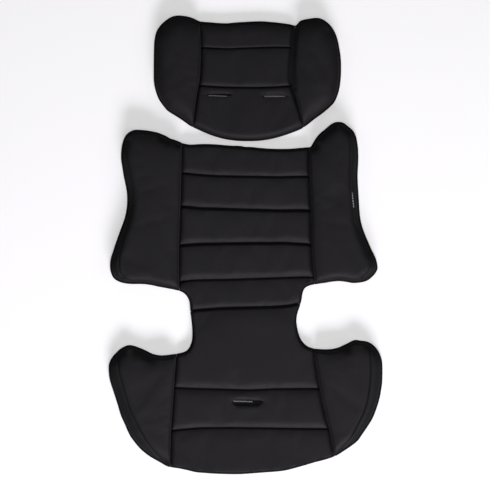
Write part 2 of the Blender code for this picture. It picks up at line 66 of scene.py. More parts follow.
HEAD = pts(
    (200, 22), (210, 23), (225, 24), (235, 23.2), (250, 22.3), (262, 22), (275, 23), (285, 24.2),
    (290, 25), (294.5, 26.2), (297, 25.2), (300, 21.8), (303, 20.5), (310, 19.2), (316, 18.5), (320, 19),
    (325, 21.5), (330, 26), (334, 32), (337, 40), (339, 50), (340.3, 60), (340.5, 70), (340, 80),
    (338.5, 90), (335, 100), (330.6, 105.7), (322.4, 112.8), (314.8, 118.3), (309.7, 122.4), (305, 126),
    (300, 129), (290, 133), (280, 136.3), (270, 138.8), (262, 140), (255, 140.6), (245, 140.7),
    (235, 140.2), (225, 138.7), (215, 136), (206.6, 132.9), (199.6, 129.8), (193, 126.7), (190, 125.2),
    (182, 119.5), (175, 115), (168, 110.5), (163, 104.5), (159, 98.5), (156, 90), (154.5, 82),
    (154.3, 70), (154.5, 50), (155, 41), (157, 32), (161.3, 25.4), (167.2, 20.2), (173.3, 16.9),
    (180, 16.2), (188, 17.3), (194, 19.3))
BODY = pts(
    (250, 147.5), (260, 148.5), (270, 149.3), (280, 149.5), (290, 149.4), (300, 148.5), (308, 147.8),
    (311, 147.2), (313, 144), (316, 139), (320, 134), (325, 130), (330, 125.7), (334, 123.3),
    (338, 122.4), (343, 123.3), (348, 127), (352, 130.5), (355, 135.5), (356.5, 142), (357.5, 150),
    (357.7, 160), (357.2, 170), (357, 178), (357.5, 188), (358.2, 200), (359, 212), (360, 220),
    (362, 228), (365, 236), (368, 243), (371, 250), (374, 256), (376, 261.5), (377, 267),
    (376.5, 270), (374, 274), (370, 278), (366, 280.5), (360, 282), (353, 282.5), (347, 281.5),
    (340, 280.6), (335, 280.8), (330, 281.4), (325, 282.3), (318, 283.3), (311, 284.5), (306, 286.5),
    (303.5, 289), (302, 293), (301.2, 298), (300.2, 303), (298.2, 309), (296.6, 314), (295.8, 321),
    (296.7, 328), (298.5, 335), (301, 340.5), (305, 345), (309, 347.5), (315, 349), (323, 349.7),
    (331, 349.5), (338, 348), (343, 345.8), (348, 343.5), (352, 341.3), (356, 340.3), (360, 341),
    (365, 341.5), (370, 343.3), (375, 347.5), (378.5, 352.5), (380.8, 358.5), (381.7, 364),
    (381.8, 375), (381.5, 383), (380.5, 390), (379, 398), (376, 408), (372, 418), (366.6, 426.8),
    (361.5, 434.2), (357, 440.5), (350, 446), (343, 450.7), (337, 454.5), (331, 457), (323, 459.5),
    (315, 461.5), (305, 464.5), (295, 467.3), (285, 469.8), (275, 471), (265, 471.7), (255, 472.5),
    (245, 473.2), (240, 473.5), (230, 473.5), (215, 473), (205, 472.3), (196, 471.5), (188, 469.6),
    (180, 467.9), (172, 466.7), (167, 465.5), (161, 462), (156, 459.3), (150, 455.7), (145, 452),
    (140, 447.5), (135, 441.5), (131, 436), (128, 430), (125, 423), (121.4, 415), (118.5, 405),
    (115.6, 396), (113, 388), (110.5, 380), (109.5, 373), (109.3, 366), (110.5, 361.5), (113, 357),
    (117, 352.5), (121, 349), (126, 346.3), (130, 345.5), (135, 346.5), (139, 348), (144, 350),
    (148, 352), (152, 354), (157, 355.3), (162, 355.8), (168, 355.3), (174, 354.5), (180, 353.5),
    (185, 352), (188.5, 349.5), (191, 345), (192.5, 340), (192.9, 333), (192.5, 325), (191.7, 318),
    (190.8, 311), (190.5, 306), (189.8, 301), (187.5, 296), (184, 292.5), (180, 290.5), (174, 289),
    (166, 287.5), (158, 286), (150, 284.3), (142, 283.5), (132, 283.5), (125, 282.8), (119, 281),
    (115, 278.5), (112.5, 275), (111, 270), (110.7, 264), (111.5, 258), (113.5, 252), (116, 244),
    (118.5, 237), (121, 230), (124, 222), (126.3, 214), (127.5, 206), (127.8, 198), (127.3, 191),
    (126, 184), (124.5, 177), (123, 168), (121.8, 160), (121.7, 153), (122.5, 146), (124, 140.5),
    (126, 136), (129, 133), (132, 131.3), (136, 130.3), (143, 130.6), (150, 131.5), (157, 133),
    (160, 134), (166, 136.5), (170, 139), (175, 140.5), (180, 142.5), (182, 143.5), (187, 144.8),
    (192, 145.2), (200, 144.7), (210, 144.7), (220, 145.3), (230, 146.2), (240, 146.5), (245, 147.5))

# seams that run up and down
HEAD_L = pts((199.6, 10), (200, 22), (200.5, 30), (201, 48), (201, 60), (200.5, 72), (199.8, 82),
             (198.5, 88), (196.5, 100), (194.8, 112), (193.6, 124), (192.6, 134))
HEAD_R = pts((295.8, 10), (295, 27), (293, 48), (292, 60), (291.5, 72), (292, 84), (293.5, 92),
             (296.5, 102), (299.5, 112), (302.5, 123), (305.5, 134))
BACK_L = pts((182.2, 132), (182, 152), (181.8, 165), (181.5, 178), (181.3, 190), (181, 203),
             (180.3, 212), (180, 225), (179.5, 240), (179.3, 255), (179.1, 268), (179.3, 280),
             (179.3, 298))
BACK_R = pts((308.7, 132), (309, 148), (309, 160), (309.2, 175), (310, 190), (310.5, 205),
             (311, 220), (311.1, 235), (311.4, 250), (312, 262), (313, 272), (314, 281), (315, 298))
SEAT_L = pts((176.9, 344), (176.5, 355), (176.2, 362), (175.3, 372), (174.5, 384), (173.8, 395),
             (173, 405), (172.4, 415), (171.7, 426), (171.1, 436), (170.8, 450), (170.6, 476))
SEAT_R = pts((313, 340), (314, 350), (315, 360), (316.5, 370), (318, 380), (319.6, 390),
             (321.6, 400), (324, 410), (326.4, 420), (329, 430), (331, 440), (333, 450),
             (338.5, 476))
GUSSET = {
    "back_wing_left": pts(
        (124.4, 130), (125, 140), (126, 150), (128, 165), (130.5, 178), (132.5, 190), (132.8, 198),
        (132, 206), (130.5, 214), (129, 222), (127, 230), (124.5, 238), (122, 246), (120.3, 254),
        (119.8, 262), (120, 268), (122, 274), (126, 278), (132, 281), (138, 284.4)),
    "back_wing_right": pts(
        (339.5, 122), (344, 128), (348, 133), (349.5, 145), (349.3, 160), (349, 175), (349.8, 188),
        (351, 200), (352.5, 212), (353.5, 222), (356.5, 228), (360, 234), (363.5, 242), (367, 250),
        (369, 256), (369.5, 263), (368, 271), (364, 275.5), (358, 279), (350, 280.5), (344, 282)),
    "seat_wing_left": pts(
        (118.2, 345), (118.5, 353), (118.8, 362), (119.5, 370), (122, 380), (124.5, 389),
        (127.5, 399), (131, 409), (135.5, 418), (140, 427), (145, 436), (150, 444), (155, 451),
        (159, 456), (163, 460.5), (164.5, 466)),
    "seat_wing_right": pts(
        (367.5, 340), (368, 344), (369, 352), (369.8, 362), (369.8, 372), (369, 382), (368, 390),
        (366.3, 400), (363.8, 408), (361, 415), (357.5, 422), (354, 429), (350.5, 436), (346, 442),
        (342, 447), (340, 455)),
}
# seams that run across
HEAD_1 = pts((190, 47.4), (201, 48), (215, 48.8), (228, 49.3), (245, 48.6), (260, 48), (275, 47.6),
             (300, 48))
HEAD_2 = pts((188, 85), (200, 86), (210, 87), (225, 87.8), (240, 88), (258, 88.2), (275, 87.6),
             (290, 86.5), (300, 85.8))
BACK_1 = pts((170, 172), (183, 173.5), (200, 175.2), (220, 176.5), (250, 177), (280, 177.5),
             (308, 176.8), (320, 176.4))
BACK_2 = pts((170, 206), (181, 207), (200, 209), (220, 209.5), (250, 210.5), (280, 211.3),
             (308, 211), (320, 210.8))
BACK_3 = pts((170, 246.8), (190, 245.3), (205, 244.5), (250, 243.8), (285, 243.6), (300, 244.5),
             (320, 245.6))
BACK_4 = pts((170, 286), (180, 283), (184, 281.5), (190, 280.5), (200, 280), (230, 279.5),
             (260, 278.5), (290, 277.5), (305, 277), (320, 277.6))
WAIST = pts((100, 311.4), (180, 311.2), (192, 311), (200, 310.2), (220, 308.7), (250, 307.8),
            (270, 307.3), (280, 306.8), (290, 305.8), (295, 304.6), (298, 303.6), (400, 303.4))
SEAT_1 = pts((160, 386.5), (174, 387), (190, 387.8), (215, 388.5), (250, 389.5), (275, 388.3),
             (318, 388), (340, 387.8))
SEAT_2 = pts((150, 431), (171, 430), (180, 429), (200, 427.3), (230, 427), (270, 427.5), (300, 428),
             (345, 428.2))
HEAD_SLOTS = {"left": at(219.3, 96.2), "right": at(275.2, 97.3)}
CROTCH = at(247.6, 401.7)
SLOT_W, SLOT_H = 46 * MM, 6.2 * MM
CROTCH_W, CROTCH_H = 56 * MM, 7.0 * MM
WAIST_Y = at(0, 307.7)[1]

# ---------------------------------------------------------------- thicknesses
STRIP_H, WAIST_H = 18.0 * MM, 16.5 * MM
WING_H = {"head": 34.5 * MM, "back": 36.5 * MM, "seat": 34.5 * MM}
VALLEY = 4.2 * MM        # how deep a seam beside a wing pulls the cover down
QUILT = 8.6 * MM         # the same for the quilting seams across a body
RIM = 3.4 * MM           # cover height where it meets the edge welt
WELT = 1.6 * MM          # radius of the welt round every edge
PAD_Z = 1.35 * MM        # underside of the pads, on the lining
LINING_T = 1.1 * MM


# ---------------------------------------------------------------- plane geometry
def spline_loop(loop, per):
    out, n = [], len(loop)
    for i in range(n):
        a, b, c, d = (np.array(loop[(i + k) % n]) for k in (-1, 0, 1, 2))
        for j in range(per):
            t = j / per
            out.append(tuple(0.5 * (2 * b + (c - a) * t + (2 * a - 5 * b + 4 * c - d) * t * t
                                    + (3 * b - a - 3 * c + d) * t ** 3)))
    return out


def spline_line(line, step=2.5 * MM):
    """An open Catmull-Rom curve through the points, sampled evenly."""
    p = [np.array(q) for q in line]
    p = [2 * p[0] - p[1]] + p + [2 * p[-1] - p[-2]]
    out = []
    for i in range(1, len(p) - 2):
        a, b, c, d = p[i - 1:i + 3]
        m = max(2, int(np.linalg.norm(c - b) / step))
        for j in range(m):
            t = j / m
            out.append(tuple(0.5 * (2 * b + (c - a) * t + (2 * a - 5 * b + 4 * c - d) * t * t
                                    + (3 * b - a - 3 * c + d) * t ** 3)))
    out.append(tuple(p[-2]))
    return out


def lookup(line, axis, value):
    o = 1 - axis
    seq = sorted(line, key=lambda q: q[axis])
    xs = [q[axis] for q in seq]
    k = int(np.clip(np.searchsorted(xs, value) - 1, 0, len(seq) - 2))
    a, b = seq[k], seq[k + 1]
    d = b[axis] - a[axis]
    t = (value - a[axis]) / d if abs(d) > 1e-12 else 0.0
    return a[o] + (b[o] - a[o]) * t


def cut(loop, line, axis, keep, gap, step=2.6 * MM):
    """Keep the part of a loop on one side of a seam, stopping gap short of it."""
    o = 1 - axis

    def side(q):
        return keep * (q[o] - lookup(line, axis, q[axis])) - gap

    n = len(loop)
    vals = [side(q) for q in loop]
    out, cross = [], []
    for i in range(n):
        p, q, a, b = loop[i], loop[(i + 1) % n], vals[i], vals[(i + 1) % n]
        if a >= 0:
            out.append(tuple(p))
        if (a >= 0) != (b >= 0):
            t = a / (a - b)
            x = (p[0] + (q[0] - p[0]) * t, p[1] + (q[1] - p[1]) * t)
            out.append(x)
            cross.append((x, a >= 0))
    if len(cross) != 2:
        raise ValueError("a seam crosses its panel %d times" % len(cross))
    leave = next(x for x, going in cross if going)
    enter = next(x for x, going in cross if not going)
    k = out.index(leave)
    out = out[k + 1:] + out[:k + 1]
    steps = max(1, math.ceil(abs(enter[axis] - leave[axis]) / step))
    for j in range(1, steps):
        w = leave[axis] + (enter[axis] - leave[axis]) * j / steps
        v = lookup(line, axis, w) + keep * gap
        out.append((v, w) if axis == 1 else (w, v))
    return out


def even(loop, step):
    """A closed loop with even spacing that keeps its corners."""
    P = np.array(loop)
    keep = np.linalg.norm(P - np.roll(P, 1, 0), axis=1) > 1e-7
    P = P[keep]
    a, b = P - np.roll(P, 1, 0), np.roll(P, -1, 0) - P
    turn = np.abs(np.degrees(np.arctan2(a[:, 0] * b[:, 1] - a[:, 1] * b[:, 0], (a * b).sum(1))))
    corner = [i for i in range(len(P)) if turn[i] > 32]
    if not corner:
        corner = [0]
    out = []
    for k, i in enumerate(corner):
        j = corner[(k + 1) % len(corner)]
        idx = np.arange(i, j + 1 if j > i else j + len(P) + 1) % len(P)
        run = P[idx]
        s = np.concatenate([[0], np.cumsum(np.linalg.norm(np.diff(run, axis=0), axis=1))])
        m = max(1, round(s[-1] / step))
        u = np.linspace(0, s[-1], m + 1)[:-1]
        out += [(np.interp(x, s, run[:, 0]), np.interp(x, s, run[:, 1])) for x in u]
    return out


def area(loop):
    P = np.array(loop)
    Q = np.roll(P, -1, 0)
    return 0.5 * float((P[:, 0] * Q[:, 1] - P[:, 1] * Q[:, 0]).sum())


def ccw(loop):
    return loop if area(loop) > 0 else loop[::-1]


def inset(loop, d):
    """A closed loop moved inwards by d along its normals, a little smoothed."""
    P = np.array(ccw(even(loop, 2.5 * MM)))
    T = np.roll(P, -1, 0) - np.roll(P, 1, 0)
    for _ in range(2):
        T = (np.roll(T, 1, 0) + 2 * T + np.roll(T, -1, 0)) / 4
    N = np.stack([-T[:, 1], T[:, 0]], 1) / np.linalg.norm(T, axis=1)[:, None]
    return [tuple(p) for p in P + N * d]


def inside(P, loop):
    P, L = np.atleast_2d(P), np.array(loop)
    M = np.roll(L, -1, 0)
    x, y = P[:, 0][:, None], P[:, 1][:, None]
    up = (L[:, 1] > y) != (M[:, 1] > y)
    dy = np.where(np.abs(M[:, 1] - L[:, 1]) < 1e-15, 1e-15, M[:, 1] - L[:, 1])
    hit = up & (x < L[:, 0] + (M[:, 0] - L[:, 0]) * (y - L[:, 1]) / dy)
    return hit.sum(1) % 2 == 1


class Edge:
    """A set of line segments that gives the distance to it and the place along it."""

    def __init__(self, segs):
        S = np.array(segs, float).reshape(-1, 4)
        self.a, self.d = S[:, :2], S[:, 2:] - S[:, :2]
        self.l2 = np.maximum((self.d ** 2).sum(1), 1e-18)
        L = np.sqrt(self.l2)
        self.s0, self.L = np.concatenate([[0], np.cumsum(L)[:-1]]), L

    @staticmethod
    def of(line, closed=False):
        P = list(line) + ([line[0]] if closed else [])
        return Edge([(*p, *q) for p, q in zip(P, P[1:])])

    def __call__(self, P):
        P = np.atleast_2d(P)
        best, place = np.full(len(P), 1e9), np.zeros(len(P))
        for k in range(0, len(P), 4000):
            Q = P[k:k + 4000]
            w = Q[:, None] - self.a[None]
            t = np.clip((w * self.d).sum(2) / self.l2, 0, 1)
            dist = np.linalg.norm(w - t[..., None] * self.d, axis=2)
            i = dist.argmin(1)
            r = np.arange(len(Q))
            best[k:k + 4000] = dist[r, i]
            place[k:k + 4000] = self.s0[i] + t[r, i] * self.L[i]
        return best, place


def stadium(c, w, h, seg=8, grow=0.0):
    r, half = h / 2 + grow, w / 2 - h / 2
    out = []
    for s, a0 in ((1, -math.pi / 2), (-1, math.pi / 2)):
        out += [(c[0] + s * half + r * math.cos(a0 + math.pi * k / seg),
                 c[1] + r * math.sin(a0 + math.pi * k / seg)) for k in range(seg + 1)]
    return out


def cloud(loop, holes, rings, lattice):
    """Points inside a panel: rings near its edges, then an even lattice."""
    edge = Edge(np.concatenate([Edge_segs(l) for l in [loop] + holes]))
    got = []
    for r in rings:
        cand = []
        for l, s in [(loop, 1)] + [(h, -1) for h in holes]:
            P = np.array(ccw(l))
            T = np.roll(P, -1, 0) - np.roll(P, 1, 0)
            N = np.stack([-T[:, 1], T[:, 0]], 1) / np.linalg.norm(T, axis=1)[:, None]
            cand.append(P + s * N * r)
        C = np.concatenate(cand)
        ok = inside(C, loop) & (edge(C)[0] > 0.93 * r)
        for h in holes:
            ok &= ~inside(C, h)
        got.append(spread(C[ok], 0.0012 + 0.1 * r))
    P = np.array(loop)
    lo, hi = P.min(0), P.max(0)
    rows = []
    for j in range(int((hi[1] - lo[1]) / (lattice * 0.866)) + 2):
        x = np.arange(lo[0] + (0.5 * lattice if j % 2 else 0), hi[0], lattice)
        rows.append(np.stack([x, np.full(len(x), lo[1] + j * lattice * 0.866)], 1))
    C = np.concatenate(rows)
    C = C[inside(C, loop)]
    for h in holes:
        C = C[~inside(C, h)]
    C = C[edge(C)[0] > (rings[-1] if rings else 0) + 0.55 * lattice]
    return np.concatenate(got + [C]) if got else C


def Edge_segs(loop):
    return np.array([(*p, *q) for p, q in zip(loop, loop[1:] + loop[:1])])


def spread(C, gap):
    """Drops points that crowd an earlier one."""
    seen, out = {}, []
    for p in C:
        k = (int(p[0] // gap), int(p[1] // gap))
        if any((p[0] - q[0]) ** 2 + (p[1] - q[1]) ** 2 < gap * gap
               for i in (-1, 0, 1) for j in (-1, 0, 1) for q in seen.get((k[0] + i, k[1] + j), ())):
            continue
        seen.setdefault(k, []).append(p)
        out.append(p)
    return np.array(out).reshape(-1, 2)


def triangles(loop, holes, extra):
    verts, edges = [], []
    for l in [loop] + holes:
        k = len(verts)
        verts += [Vector(p) for p in l]
        edges += [(k + i, k + (i + 1) % len(l)) for i in range(len(l))]
    verts += [Vector(p) for p in extra]
    v, _, f, _, _, _ = delaunay_2d_cdt(verts, edges, [], 0, 1e-8, False)
    V = np.array([(p.x, p.y) for p in v])
    F = np.array(f)
    A, B, C = V[F[:, 0]], V[F[:, 1]], V[F[:, 2]]
    cross = (B - A)[:, 0] * (C - A)[:, 1] - (B - A)[:, 1] * (C - A)[:, 0]
    F[cross < 0] = F[cross < 0][:, ::-1]
    F, M = F[np.abs(cross) > 1e-13], ((A + B + C) / 3)[np.abs(cross) > 1e-13]
    ok = inside(M, loop)
    for h in holes:
        ok &= ~inside(M, h)
    return V, F[ok]


# ---------------------------------------------------------------- meshes
def mesh_object(name, verts, faces, sharp=62, rest=None):
    me = bpy.data.meshes.new(name)
    me.from_pydata([tuple(map(float, p)) for p in verts], [], [tuple(map(int, f)) for f in faces])
    me.validate()
    me.shade_smooth()
    if sharp:
        me.set_sharp_from_angle(angle=math.radians(sharp))
    flat = me.attributes.new("rest", "FLOAT_VECTOR", "POINT")
    flat.data.foreach_set("vector", np.array(verts if rest is None else rest, np.float32).ravel())
    ob = bpy.data.objects.new(name, me)
    bpy.context.scene.collection.objects.link(ob)
    return ob


def rim_of(F):
    seen = set()
    for a, b, c in F:
        seen |= {(a, b), (b, c), (c, a)}
    return [(a, b) for a, b in seen if (b, a) not in seen]


def tube(name, path, rn, rz, sides=10, closed=False, z=None):
    """A round-section welt along points (x, y, z)."""
    P = np.array(path, float)
    if P.shape[1] == 2:
        P = np.column_stack([P, np.full(len(P), z)])
    T = (np.roll(P, -1, 0) - np.roll(P, 1, 0)) if closed else np.gradient(P, axis=0)
    T /= np.linalg.norm(T, axis=1)[:, None]
    N = np.stack([-T[:, 1], T[:, 0], np.zeros(len(T))], 1)
    N /= np.linalg.norm(N, axis=1)[:, None]
    B = np.cross(T, N)
    V, F = [], []
    n = len(P)
    for i in range(n):
        e = 1.0
        if not closed:
            e = math.sqrt(max(0.0, 1 - (1 - min(1.0, (min(i, n - 1 - i) + 0.35) / 1.4)) ** 2))
        for k in range(sides):
            a = 2 * math.pi * k / sides
            V.append(P[i] + e * (rn * math.cos(a) * N[i] + rz * math.sin(a) * B[i]))
    for i in range(n if closed else n - 1):
        j = (i + 1) % n
        for k in range(sides):
            m = (k + 1) % sides
            F.append((i * sides + k, i * sides + m, j * sides + m, j * sides + k))
    if not closed:
        F.append(tuple(range(sides))[::-1])
        F.append(tuple((n - 1) * sides + k for k in range(sides)))
    return V, [f[::-1] for f in F]


def stitches(lines, pitch=3.4 * MM, length=2.3 * MM, r=0.33 * MM, sag=0.25 * MM):
    """Short thread lengths laid end to end along 3-D lines."""
    V, F = [], []
    for line in lines:
        P = np.array(line, float)
        s = np.concatenate([[0], np.cumsum(np.linalg.norm(np.diff(P, axis=0), axis=1))])
        for c in np.arange(pitch / 2, s[-1] - pitch / 2, pitch):
            pos = [np.array([np.interp(c + length * t, s, P[:, q]) for q in range(3)])
                   for t in (-0.5, -0.3, 0, 0.3, 0.5)]
            d = pos[-1] - pos[0]
            if np.linalg.norm(d) < 1e-6:
                continue
            d /= np.linalg.norm(d)
            n = np.array([-d[1], d[0], 0.0])
            n /= max(np.linalg.norm(n), 1e-9)
            b = np.cross(d, n)
            k0 = len(V)
            for p, q, w in zip(pos, (-1.6, 0, 0.5, 0, -1.6), (0.45, 0.95, 1.0, 0.95, 0.45)):
                for k in range(6):
                    a = math.pi / 3 * k
                    V.append(p + sag * q * b + w * r * (math.cos(a) * n + math.sin(a) * b))
            for i in range(4):
                for k in range(6):
                    m = (k + 1) % 6
                    F.append((k0 + i * 6 + m, k0 + i * 6 + k, k0 + i * 6 + 6 + k, k0 + i * 6 + 6 + m))
            F.append(tuple(k0 + k for k in range(6)))
            F.append(tuple(k0 + 24 + k for k in range(6))[::-1])
    return V, F


def ell(d, R, n=2.4):
    t = np.clip(d / R, 0, 1)
    return 1 - (1 - t) ** n


def smin(a, b, k):
    h = np.maximum(k - np.abs(a - b), 0) / k
    return np.minimum(a, b) - h * h * k / 4


def ripple(P, seed, size):
    """A smooth uneven field between about -1 and 1."""
    o = Vector((seed * 7.31, seed * 3.17, seed * 1.73))
    return np.array([noise.noise(Vector((x / size, y / size, 0.0)) + o) for x, y in P]) * 1.6


# ---------------------------------------------------------------- outlines and pads
head_out = even(ccw(spline_loop(HEAD, 4)), 2.5 * MM)
body_out = even(ccw(spline_loop(BODY, 4)), 2.5 * MM)
head_in, body_in = inset(head_out, 1.9 * MM), inset(body_out, 1.9 * MM)
SLIT = 0.12 * MM


def parts(loop, cuts):
    for line, axis, keep in cuts:
        loop = cut(loop, line, axis, keep, SLIT)
    return ccw(even(loop, 2.7 * MM))


back_in = cut(body_in, WAIST, 0, 1, SLIT)
seat_in = cut(body_in, WAIST, 0, -1, SLIT)
MID = {"head": [(HEAD_L, 1, 1), (HEAD_R, 1, -1)], "back": [(BACK_L, 1, 1), (BACK_R, 1, -1)],
       "seat": [(SEAT_L, 1, 1), (SEAT_R, 1, -1)]}
PADS = []                # name, loop, holes, body, blend, nodes, slot, kind, group


def strip(name, base, group, cuts, nodes, holes=(), H=STRIP_H, blend=None):
    PADS.append(dict(name=name, loop=parts(base, MID[group] + cuts), holes=list(holes), group=group,
                     nodes=nodes, slot="black_knit", kind="strip", H=H, blend=blend))


head_holes = [stadium(c, SLOT_W, SLOT_H, grow=-1.8 * MM) for c in HEAD_SLOTS.values()]
crotch_hole = [stadium(CROTCH, CROTCH_W, CROTCH_H, grow=-2.2 * MM)]
strip("head_top_strip", head_in, "head", [(HEAD_1, 0, 1)], ["head_panel_top", "head_foam"])
strip("head_middle_strip", head_in, "head", [(HEAD_1, 0, -1), (HEAD_2, 0, 1)], ["head_panel_middle"])
strip("head_lower_bib", head_in, "head", [(HEAD_2, 0, -1)], ["head_panel_lower"], head_holes)
strip("back_strip_1", back_in, "back", [(BACK_1, 0, 1)], ["back_panel_1", "back_foam"])
strip("back_strip_2", back_in, "back", [(BACK_1, 0, -1), (BACK_2, 0, 1)], ["back_panel_2"])
strip("back_strip_3", back_in, "back", [(BACK_2, 0, -1), (BACK_3, 0, 1)], ["back_panel_3"])
strip("back_strip_4", back_in, "back", [(BACK_3, 0, -1), (BACK_4, 0, 1)], ["back_panel_4"])
strip("waist_strip", back_in, "back", [(BACK_4, 0, -1)], ["waist_panel"], H=WAIST_H)
WAIST_BLEND = ("back", "seat", (0, WAIST_Y - 6 * MM, 0), (0, WAIST_Y - 48 * MM, 0))
strip("seat_strip_1", seat_in, "seat", [(SEAT_1, 0, 1)], ["seat_panel_1", "seat_foam"],
      blend=WAIST_BLEND)
strip("seat_strip_2", seat_in, "seat", [(SEAT_1, 0, -1), (SEAT_2, 0, 1)], ["seat_panel_2"],
      crotch_hole)
strip("seat_strip_3", seat_in, "seat", [(SEAT_2, 0, -1)], ["seat_panel_3"])

# each wing: its loop, its seam, and the two points that mark out its bend, kept as data only
WINGS = {}


def wing(name, base, group, seam, side, line, reach):
    """line: two sheet points of the line where the bend begins; reach: how far it runs."""
    loop = ccw(cut(base, seam, 1, -side, SLIT))
    a, b = np.array(at(*line[0])), np.array(at(*line[1]))
    t = (b - a) / np.linalg.norm(b - a)
    n = np.array([-t[1], t[0]])
    if n[0] * side > 0:
        n = -n
    start, end = (a + b) / 2, (a + b) / 2 + n * reach
    blend = (group, name, (*start, 0.0), (*end, 0.0))
    WINGS[name] = dict(loop=loop, seam=seam, side=side, blend=blend, group=group)
    gus = GUSSET.get(name)
    H = WING_H[group]
    if gus:
        gus = spline_line(gus)
        PADS.append(dict(name=name + "_pad", loop=ccw(even(cut(loop, gus, 1, side, SLIT), 2.7 * MM)),
                         holes=[], group=group, nodes=[name + "_cover", name + "_foam"],
                         slot="black_knit", kind="wing", H=H, blend=blend, wing=name, gus=gus,
                         cover=cut(loop, gus, 1, side, 0.0)))
        PADS.append(dict(name=name + "_side_band", cover=cut(loop, gus, 1, side, 0.0),
                         loop=ccw(even(cut(loop, gus, 1, -side, SLIT), 2.7 * MM)),
                         holes=[], group=group, nodes=[name + "_gusset"], slot="gusset_cloth",
                         kind="band", H=H, blend=blend, wing=name, gus=gus))
    else:
        PADS.append(dict(name=name + "_pad", loop=even(loop, 2.7 * MM), holes=[], group=group,
                         nodes=[name + "_cover", name + "_foam"], slot="black_knit", kind="wing",
                         H=H, blend=blend, wing=name, gus=None))


wing("head_wing_left", head_in, "head", HEAD_L, 1, ((200.6, 22), (193.2, 124)), 40 * MM)
wing("head_wing_right", head_in, "head", HEAD_R, -1, ((296.2, 24), (303, 124)), 38 * MM)
wing("back_wing_left", back_in, "back", BACK_L, 1, ((181.4, 140), (178.4, 290)), 44 * MM)
wing("back_wing_right", back_in, "back", BACK_R, -1, ((309.2, 140), (315.2, 290)), 44 * MM)
wing("seat_wing_left", seat_in, "seat", SEAT_L, 1, ((175.8, 350), (169.6, 465)), 44 * MM)
wing("seat_wing_right", seat_in, "seat", SEAT_R, -1, ((315.2, 350), (336.4, 460)), 44 * MM)

OUTER = {"head": Edge.of(head_in, True), "back": Edge.of(body_in, True),
         "seat": Edge.of(body_in, True)}


MID_LINES = {"head": (HEAD_L, HEAD_R), "back": (BACK_L, BACK_R), "seat": (SEAT_L, SEAT_R)}


# folds and dents in the covers: from, to (sheet squares), half width and height in mm
FOLDS = {
    "back_wing_left_pad": [((150, 226), (165, 262), 6, 1.3), ((160, 222), (175, 256), 9, -1.0),
                           ((146, 160), (150, 212), 16, 0.8), ((168, 165), (170, 215), 10, -0.5),
                           ((166, 268), (172, 279), 5, 0.8), ((133, 268), (150, 273), 6, 0.6)],
    "back_wing_right_pad": [((322, 150), (333, 182), 12, 1.0), ((336, 188), (330, 222), 10, -0.9),
                            ((330, 240), (345, 262), 11, 0.8), ((318, 196), (326, 204), 6, 0.5)],
    "head_wing_right_pad": [((334, 70), (339, 80), 2.6, 0.6), ((331, 80), (337, 91), 2.4, -0.6),
                            ((329, 88), (334, 99), 2.6, 0.5), ((311, 62), (318, 84), 11, 1.4),
                            ((322, 92), (314, 108), 8, -0.8)],
    "head_wing_left_pad": [((172, 40), (182, 84), 14, 1.0), ((164, 88), (176, 106), 9, -0.6)],
    "seat_wing_left_pad": [((150, 380), (158, 420), 14, 0.8), ((130, 362), (146, 368), 8, -0.6)],
    "seat_wing_right_pad": [((340, 362), (352, 398), 13, 0.9), ((328, 400), (336, 430), 9, -0.5)],
    "back_strip_4": [((309, 279.5), (314, 282), 4.5, -5.0), ((181, 281), (184, 283), 4.0, -3.0),
                     ((292, 268), (300, 272), 7, 0.8)],
    "waist_strip": [((309, 280), (313, 284), 5.0, -4.0), ((296, 294), (300, 300), 7, 0.7)],
    "seat_strip_2": [((228, 395), (266, 395), 6, 0.7)],
    "head_lower_bib": [((262, 92), (290, 92.5), 4.5, 0.5), ((206, 92), (232, 92), 4.5, 0.4)],
    "seat_strip_3": [((200, 452), (240, 456), 14, 0.6), ((280, 446), (310, 440), 12, -0.5)],
    "seat_strip_1": [((215, 330), (230, 372), 18, 0.6), ((270, 335), (280, 368), 16, -0.5)],
}


# strips, in mm: the roll just above the lower seam (height, width), the long fall towards it,
# and the shoulder under the upper seam
ROLL = {"head_top_strip": ((2.8, 6), (0.2, 20), (6.4, 32)),
        "head_middle_strip": ((3.8, 8), (1.6, 30), (2.8, 14)),
        "head_lower_bib": ((4.0, 10), (1.5, 30), (2.4, 12)),
        "back_strip_1": ((5.0, 14), (1.2, 50), (3.2, 20)),
        "waist_strip": ((7.6, 15.5), (0.4, 40), (4.0, 24)),
        "seat_strip_1": ((5.2, 16), (1.0, 40), (3.8, 40)),
        "seat_strip_2": ((5.2, 17), (0.8, 30), (5.4, 28)),
        "seat_strip_3": ((5.0, 14), (2.0, 40), (4.6, 28))}


def valley_gap(line):
    """How far the valley of a seam stays flat before the pad beside it rises."""
    if line is HEAD_R:
        return lambda P: (0.2 + 2.9 * np.clip((P[:, 1] - at(0, 108)[1]) / (45 * MM), 0, 1)) * MM
    if line in (BACK_R, SEAT_R):
        return lambda P: np.full(len(P), 0.55 * MM)
    return lambda P: np.full(len(P), 0.1 * MM)


